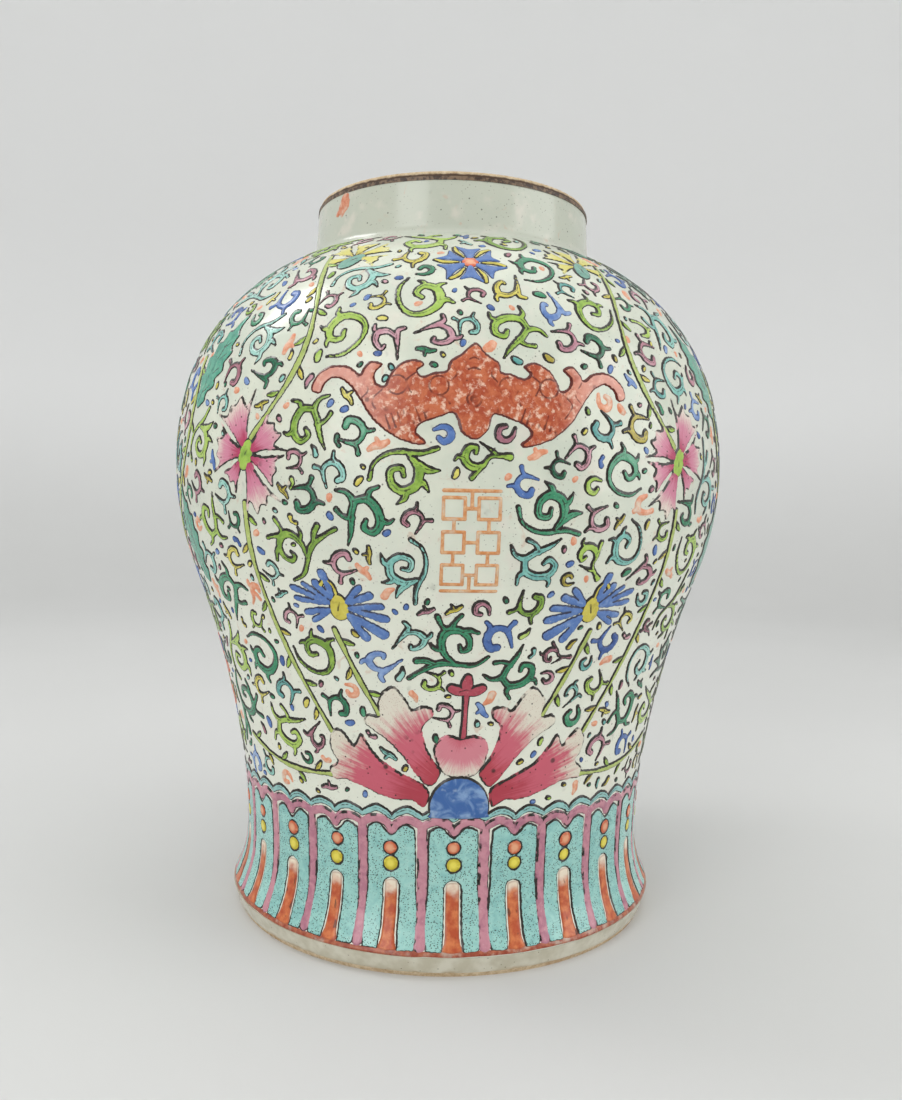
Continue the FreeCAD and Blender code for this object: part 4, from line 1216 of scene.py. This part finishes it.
def make_scrolls():
    rng = np.random.default_rng(7)
    batches = {name: Batch(name) for name in COLOURS}
    look = {"step": 0.48, "ink": 0.32, "sway": 0.1}
    large, middle = sheets(LARGE_SCROLLS, **look), sheets(MIDDLE_SCROLLS, **look)
    small, tiny, dots = (sheets(stock, **look) for stock in (SMALL_SCROLLS, TINY_SCROLLS, COMMAS))
    known = []
    # stock, share of each colour, gap, sizes, distance between places, tries at each
    for stock, share, gap, sizes, step, tries in (
            (large, GRAND_SHARE, 2.3, (0.95, 1.12), 8.0, 14),
            (middle, LARGE_SHARE, 2.1, (0.95, 1.12), 4.5, 12),
            (middle, LARGE_SHARE, 1.9, (0.72, 0.88), 3.5, 10),
            (small, SMALL_SHARE, 1.9, (0.85, 1.05), 3.0, 8),
            (tiny, SMALL_SHARE, 1.8, (0.72, 0.9), 2.6, 6),
            (dots, DOT_SHARE, 3.4, (0.85, 1.25), 3.0, 3)):
        scatter(rng, batches, stock, share, gap, sizes, step, known, tries)
    return batches


# ---------------------------------------------------------------- coats of glaze

def coat():
    """The outer glaze: a smooth skin with the potter's faint rings, turned in at both ends."""
    around, rows = 432, 210
    run = np.concatenate([[0.0], np.linspace(0, RUN[-1], rows), [RUN[-1]]])
    lift = np.zeros(rows + 2)
    lift[0] = lift[-1] = -0.5
    angles = np.linspace(0, 2 * math.pi, around, endpoint=False)
    grid_angle, grid_run = np.meshgrid(angles, run)
    points = place(grid_angle.ravel(), grid_run.ravel(), np.repeat(lift, around))
    return points * MM, ring_faces(rows + 2, around)


def dress(node, material):
    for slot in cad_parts[node].material_slots:
        slot.material = material
    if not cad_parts[node].material_slots:
        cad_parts[node].data.materials.append(material)


def make_coats():
    points, faces = coat()
    skin = mesh_object("glaze_coat", points, faces, glaze_material("white_glaze", "d8dbca"))
    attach(skin, "root")
    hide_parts("outer_glaze")
    plain = glaze_material("inside_glaze", "d0d5c8", 0.5)
    dress("inner_glaze", plain)
    dress("base_glaze", plain)
    dress("foot_glaze", foot_material())
    dress("lip_line", lip_material())
    bare = clay_material("bare_clay", "d9c6a6", "b59a76")
    for node in ("foot_ring", "base_plate", "lower_body", "upper_body", "neck_collar", "body_luting_seam",
                 "neck_luting_seam"):
        dress(node, bare)


def foot_material():
    """Cream glaze on the foot, with a thin golden brown line where it thins near the ground."""
    nodes = Nodes("cream_foot")
    up = nodes.height()
    height = nodes.math("MULTIPLY_ADD", nodes.noise(60, 3), 0.002, nodes.math("SUBTRACT", up, 0.001))
    colour = nodes.mix(nodes.ramp(nodes.noise(140, 4), 0.35, 0.7), srgb("bfb9a4"), srgb("d4d0bf"))
    stain = nodes.times(nodes.ramp(height, 0.0034, 0.0022), nodes.ramp(nodes.noise(110, 3), 0.4, 0.9))
    colour = nodes.mix(stain, colour, srgb("a07a45"))
    pits = nodes.spots(320, 0.05, 0.12)
    colour = nodes.over(colour, pits, 0.7, "4a3c2c")
    nodes.bump(nodes.noise(300, 3), 0.3, 0.0006)
    return nodes.finish(colour, 0.22, 0.2)


def lip_material():
    nodes = Nodes("brown_lip")
    ragged = nodes.ramp(nodes.noise(420, 4, 0.6), 0.40, 0.6)
    colour = nodes.mix(ragged, srgb("3a2920"), srgb("7d6650"))
    nodes.bump(nodes.noise(500, 3), 0.4, 0.0004)
    return nodes.finish(colour, 0.5)


def boss_material():
    """Cobalt with paler clouds."""
    nodes = Nodes("cobalt_cloud")
    cloud = nodes.noise(120, 3, 0.6, distortion=1.2)
    colour = nodes.mix(nodes.ramp(cloud, 0.42, 0.70), srgb("35609f"), srgb("7f9fc8"))
    colour = nodes.mix(nodes.ramp(nodes.noise(260, 2), 0.55, 0.85), colour, srgb("a9bed2"))
    colour = inked(nodes, colour, INK, 0.1, 0.4)
    nodes.bump(cloud, 0.3, 0.0006)
    return nodes.finish(colour, 0.2)


def bead(name, pale, ring):
    nodes = Nodes(name)
    colour = nodes.mix(nodes.ramp(nodes.attribute("along"), 0.25, 0.85), srgb(pale), srgb(ring))
    colour = nodes.mix(nodes.ramp(nodes.noise(600, 3), 0.5, 0.75), colour, srgb(pale))
    return nodes.finish(inked(nodes, colour, INK, -0.06, 0.1), 0.2)


def smudge(name, pale, deep, fade):
    """Iron red brushed on dry: streaky, without an outline, thin in places."""
    nodes = Nodes(name)
    thin = nodes.noise(420, 4, 0.65)
    colour = nodes.mix(nodes.ramp(thin, 0.35, 0.7), srgb(deep), srgb(pale))
    gone = nodes.times(nodes.ramp(nodes.noise(240, 3), 0.5, 0.72), fade)
    colour = nodes.mix(gone, colour, GROUND)
    edge = nodes.ramp(nodes.attribute("depth"), 0.5, -0.1)
    colour = nodes.mix(nodes.times(edge, 0.45), colour, srgb(deep))
    return nodes.finish(colour, 0.3)


def tongue_material():
    nodes = Nodes("tongue_red")
    along = nodes.math("MULTIPLY_ADD", nodes.noise(300, 3), 0.25, nodes.attribute("along"))
    colour = nodes.mix(nodes.ramp(nodes.noise(260, 4, 0.6), 0.35, 0.68), srgb("b24a26"), srgb("d27a48"))
    colour = nodes.mix(nodes.ramp(along, 0.92, 1.12), colour, srgb("e6d9c4"))
    edge = nodes.ramp(nodes.attribute("depth"), 0.8, 0.0)
    colour = nodes.over(colour, edge, 0.4, "7a3320")
    dash = nodes.ramp(nodes.noise(1.0, 2, 0.5, nodes.scaled(nodes.where(), (420, 420, 150))), 0.64, 0.72)
    colour = nodes.mix(nodes.times(dash, 0.7), colour, INK)
    nodes.bump(nodes.noise(500, 3), 0.3, 0.0004)
    return nodes.finish(colour, 0.28)


def bat_material():
    """Mottled orange red, paler pink at the wing ends, drawn in darker red."""
    nodes = Nodes("bat_red")
    mottle = nodes.noise(230, 4, 0.65, distortion=0.8)
    colour = nodes.mix(nodes.ramp(mottle, 0.34, 0.68), srgb("a54426"), srgb("c56c46"))
    colour = nodes.mix(nodes.ramp(nodes.noise(420, 4, 0.65), 0.50, 0.68), colour, srgb("e6c0a8"))
    far = nodes.ramp(nodes.math("MULTIPLY_ADD", mottle, 0.3, nodes.attribute("along")), 0.60, 1.0)
    colour = nodes.over(colour, far, 0.7, "dda394")
    soot = nodes.times(nodes.spots(190, 0.10, 0.24), nodes.ramp(nodes.noise(60, 2), 0.44, 0.6))
    colour = nodes.over(colour, soot, 0.7, "5a3026")
    colour = inked(nodes, colour, srgb("58190f"), 0.18, 0.45, 0.2)
    nodes.bump(nodes.noise(500, 3), 0.3, 0.0004)
    return nodes.finish(colour, 0.24)


# ---------------------------------------------------------------- putting it together

# An enamel's pale, middle and deep colours, the thin weight of its outline, and the thick weight that the
# outline grows to on one side as painted shade.
ENAMELS = {
    "turquoise": ("b6dad2", "9accc4", "82b8b4", 0.12, 0.35),
    "mauve": ("d0a0a8", "c28693", "a86c80", 0.12, 0.5),
    "yellow": ("e0d878", "cdc04e", "a8983c", 0.08, 0.42),
    "lime": ("b9cf72", "9dbf4e", "6f9436", 0.06, 0.45),
    "deep_green": ("5fa583", "2f855e", "1f6146", 0.05, 0.4),
    "cobalt": ("8aa5cf", "4f72b0", "35528f", -0.15, 0.15),
    "crest_teal": ("a9cfc9", "8ec0bc", "70a5a6", 0.12, 0.42),
    "crimson": ("c66a74", "ae4655", "8c2d3c", 0.12, 0.4),
    "fringe_blue": ("9db6d6", "5578b4", "3a5a98", -0.15, 0.25),
    "sage": ("9cc3ae", "6fa392", "4b7d70", 0.1, 0.4),
    "leaf_teal": ("8fc4a4", "4f9f86", "2f7566", 0.06, 0.5),
    "olive": ("c9d08c", "adbd68", "83964a", 0.02, 0.32),
    "scroll_teal": ("b2dacf", "84c1b6", "589c98", 0.06, 0.42),
    "scroll_mauve": ("cfa3ac", "b98290", "99626f", 0.08, 0.5),
}
ENAMEL_WAYS = {"turquoise": {"stipple": 0.95}, "mauve": {"broken": 0.02},
               "fringe_blue": {"ink": srgb("2c3450")},
               "cobalt": {"ink": srgb("26335a"), "vein": False}}
# A petal's colours at its root, body and tip, and where along it the two changes lie.
PETALS = {
    "petal": ("ae3a48", "c75f70", "dcd6c6", ((0.3, 0.6), (0.68, 0.98))),
    "deep_petal": ("aa3646", "c4596b", "dad3c2", ((0.35, 0.65), (0.78, 1.02))),
    "heart": ("bd4c5e", "cf7f8b", "dedaca", ((0.05, 0.4), (0.55, 1.05))),
    "pink_fan": ("ae3a5e", "cc7f97", "e0d6c8", ((0.2, 0.5), (0.5, 0.95))),
    "yellow_fan": ("bfae45", "d3cb62", "e0dda8", ((0.15, 0.4), (0.5, 0.95))),
}
# A bead's middle and its ring.
BEADS = {"coral_bead": ("e0a27c", "c45a34"), "yellow_bead": ("e2d455", "bfae2a"),
         "star_coral": ("e6a884", "cf5a34")}
# A brushed red's pale and deep colours, and how much of it has gone.
SMUDGES = {"pale_coral": ("e0b98f", "c9824a", 0.5), "fringe_red": ("dd8460", "b2432a", 0.25),
           "smear_red": ("dba084", "c4704c", 0.6), "scroll_coral": ("e6b79b", "d78560", 0.65),
           "foot_line": ("b5694a", "8e3a24", 0.4)}
# Batch, finish, slot, and the CAD node that the batch replaces if there is one.
DRESSING = (
    ("panels", "turquoise", "turquoise", "lappet_panels"),
    ("frames", "mauve", "mauve_pink", "lappet_frames"),
    ("crest", "crest_teal", "turquoise", "lappet_crest"),
    ("tongues", "tongue", "iron_red", "lappet_tongues"),
    ("coral_beads", "coral_bead", "coral", "lappet_coral_beads"),
    ("yellow_beads", "yellow_bead", "yellow", "lappet_yellow_beads"),
    ("bosses", "boss", "cobalt", "lotus_bosses"),
    ("hearts", "heart", "rose", "lotus_hearts"),
    ("finials", "crimson", "rose"),
    ("inner_petals", "petal", "rose", "lotus_inner_petals"),
    ("outer_petals", "deep_petal", "rose", "lotus_outer_petals"),
    ("bats", "bat", "iron_red", "bat_emblems"),
    ("frets", "pale_coral", "coral", "fret_emblems"),
    ("blue_fringes", "fringe_blue", "cobalt", "blue_blossoms"),
    ("blue_calyxes", "yellow", "yellow"),
    ("pink_fans", "pink_fan", "rose", "pink_blossoms"),
    ("green_calyxes", "lime", "leaf_green"),
    ("yellow_fans", "yellow_fan", "yellow", "yellow_blossoms"),
    ("teal_calyxes", "sage", "turquoise"),
    ("stars", "cobalt", "cobalt", "star_blossoms"),
    ("star_yellow", "yellow", "yellow"),
    ("star_middles", "star_coral", "coral"),
    ("red_fringes", "fringe_red", "iron_red", "side_blossoms"),
    ("leaves", "leaf_teal", "leaf_green"),
    ("stems", "olive", "leaf_green", "vine_stems"),
    ("bracts", "lime", "leaf_green"),
    ("buds", "yellow", "yellow"),
    ("smears", "smear_red", "iron_red"),
    ("scroll_green", "deep_green", "leaf_green"),
    ("scroll_lime", "lime", "leaf_green"),
    ("scroll_teal", "scroll_teal", "turquoise"),
    ("scroll_mauve", "scroll_mauve", "mauve_pink"),
    ("scroll_cobalt", "cobalt", "cobalt"),
    ("scroll_gold", "yellow", "yellow"),
    ("scroll_coral", "scroll_coral", "coral"),
    ("foot_line", "foot_line", "iron_red", "foot_line"),
)


def make_finishes():
    finishes = {"tongue": tongue_material(), "boss": boss_material(), "bat": bat_material()}
    for name, look in ENAMELS.items():
        finishes[name] = enamel(name, *look, **ENAMEL_WAYS.get(name, {}))
    for make, table in ((graded, PETALS), (bead, BEADS), (smudge, SMUDGES)):
        for name, look in table.items():
            finishes[name] = make(name, *look)
    return finishes


def build_all():
    labels = ("panels", "frames", "crest", "tongues", "coral_beads", "yellow_beads")
    batches = dict(zip(labels, make_lappets()))
    batches.update(make_flowers())
    batches.update(make_scrolls())
    batches["foot_line"] = foot_line()
    finishes = make_finishes()
    for batch, finish, slot, *nodes in DRESSING:
        batches[batch].build(finishes[finish], slot, *nodes)


def foot_line():
    """The iron-red line under the lappets, brushed round by hand."""
    rng = np.random.default_rng(3)
    batch = Batch("foot_line_paint")
    count = 5 * LAPPETS
    widths = 1.0 + 0.35 * np.convolve(rng.uniform(-1, 1, count), (0.3, 0.4, 0.3), "same")
    places = GLAZE_FOOT + 1.15 + 0.25 * np.sin(np.arange(count) * 0.21) + rng.uniform(-0.12, 0.12, count)
    step = 2 * TILE_HALF / 5
    for number in range(LAPPETS):
        pick = [(number * 5 + n) % count for n in range(6)]
        path = [((n - 2.5) * step, places[p], widths[p]) for n, p in enumerate(pick)]
        batch.add(Sheet(Motif(strokes=[smooth_path(path, 4)]), step=0.4, ink=0.1, swell=0.2), number * CELL,
                  0.0,
                  tile=TILE_RADIUS)
    return batch


# ---------------------------------------------------------------- camera, light and room

CAMERA_AWAY = 0.4677
CAMERA_UP = 0.1907
CAMERA_TURN = math.radians(-4.0)
AIM_RIGHT = math.radians(0.27)
AIM_DOWN = math.radians(2.93)
ROLL = math.radians(1.1)
LENS_LENGTH = 30.8
FLOOR_REACH, SWEEP = 1.3, 0.9


def make_camera():
    lens = bpy.data.cameras.new("camera")
    lens.sensor_fit = "AUTO"
    lens.sensor_width = 36
    lens.lens = LENS_LENGTH
    lens.clip_start = 0.01
    eye = bpy.data.objects.new("camera", lens)
    bpy.context.scene.collection.objects.link(eye)
    toward = Vector((-math.sin(CAMERA_TURN), math.cos(CAMERA_TURN), 0))
    aside = Vector((math.cos(CAMERA_TURN), math.sin(CAMERA_TURN), 0))
    level = toward * math.cos(AIM_RIGHT) + aside * math.sin(AIM_RIGHT)
    right = aside * math.cos(AIM_RIGHT) - toward * math.sin(AIM_RIGHT)
    ahead = level * math.cos(AIM_DOWN) - Vector((0, 0, 1)) * math.sin(AIM_DOWN)
    up = right.cross(ahead)
    tilted_up = up * math.cos(ROLL) - right * math.sin(ROLL)
    tilted_right = right * math.cos(ROLL) + up * math.sin(ROLL)
    turn = Matrix((tilted_right, tilted_up, -ahead)).transposed().to_4x4()
    eye.matrix_world = Matrix.Translation(-toward * CAMERA_AWAY + Vector((0, 0, CAMERA_UP))) @ turn
    bpy.context.scene.camera = eye


def softbox(name, turn, away, up, wide, tall, power, aim_up=0.17):
    """A tall soft light standing at a turn from the camera side, aimed at the jar."""
    light = bpy.data.lights.new(name, "AREA")
    light.shape = "RECTANGLE"
    light.size, light.size_y = wide, tall
    light.energy = power
    item = bpy.data.objects.new(name, light)
    bpy.context.scene.collection.objects.link(item)
    angle = math.radians(turn)
    item.location = (away * math.sin(angle), -away * math.cos(angle), up)
    item.rotation_euler = (Vector((0, 0, aim_up)) - item.location).to_track_quat("-Z", "Y").to_euler()
    item.visible_camera = False


def make_room():
    """A round seamless paper room: pale floor that sweeps up into a pale wall, the floor coloured darker
    than the wall as painted shade.
    """
    profile = [(0.3, 0.0), (0.8, 0.0), (FLOOR_REACH, 0.0)]
    for number in range(1, 13):
        angle = math.radians(90 * number / 12)
        profile.append((FLOOR_REACH + SWEEP * math.sin(angle), SWEEP - SWEEP * math.cos(angle)))
    profile += [(FLOOR_REACH + SWEEP, 1.6), (FLOOR_REACH + SWEEP, 2.6)]
    around = 96
    angles = np.linspace(0, 2 * math.pi, around, endpoint=False)
    points = [(r * math.sin(a), r * math.cos(a), z) for r, z in profile for a in angles]
    faces = ring_faces(len(profile), around).tolist()
    faces += [(len(points), (column + 1) % around, column) for column in range(around)]
    points.append((0, 0, 0))
    mesh = bpy.data.meshes.new("room")
    mesh.from_pydata(points, [], faces)
    for face in mesh.polygons:
        face.use_smooth = True
    nodes = Nodes("paper")
    up = nodes.height()
    # Painted shade: the paper is darker on the floor and lightens to the wall's colour over the first half
    # metre up.
    paper = nodes.mix(nodes.ramp(up, 0.0, 0.5), srgb("cfcfce"), srgb("e8e8e8"))
    colour = nodes.mix(nodes.ramp(nodes.noise(3, 2), 0.2, 0.8, 0.0, 0.08), paper, srgb("f0f0f0"))
    mesh.materials.append(nodes.finish(colour, 0.85))
    room = bpy.data.objects.new("room", mesh)
    bpy.context.scene.collection.objects.link(room)


def make_light():
    softbox("key_left", -37, 1.15, 0.55, 0.5, 1.1, 4.4)
    softbox("key_right", 68, 1.15, 0.55, 0.8, 1.1, 5)
    softbox("top", 0, 0.02, 2.3, 1.8, 1.8, 4, aim_up=0.1)
    softbox("window", -106, 0.83, 1.12, 0.34, 0.42, 2.6, aim_up=0.26)
    world = bpy.data.worlds.new("studio")
    world.use_nodes = True
    world.node_tree.nodes["Background"].inputs["Color"].default_value = (0.985, 1.0, 0.985, 1)
    world.node_tree.nodes["Background"].inputs["Strength"].default_value = 1.0
    bpy.context.scene.world = world
    bpy.context.scene.view_settings.view_transform = "Standard"


make_camera()
make_room()
make_light()
make_coats()
build_all()
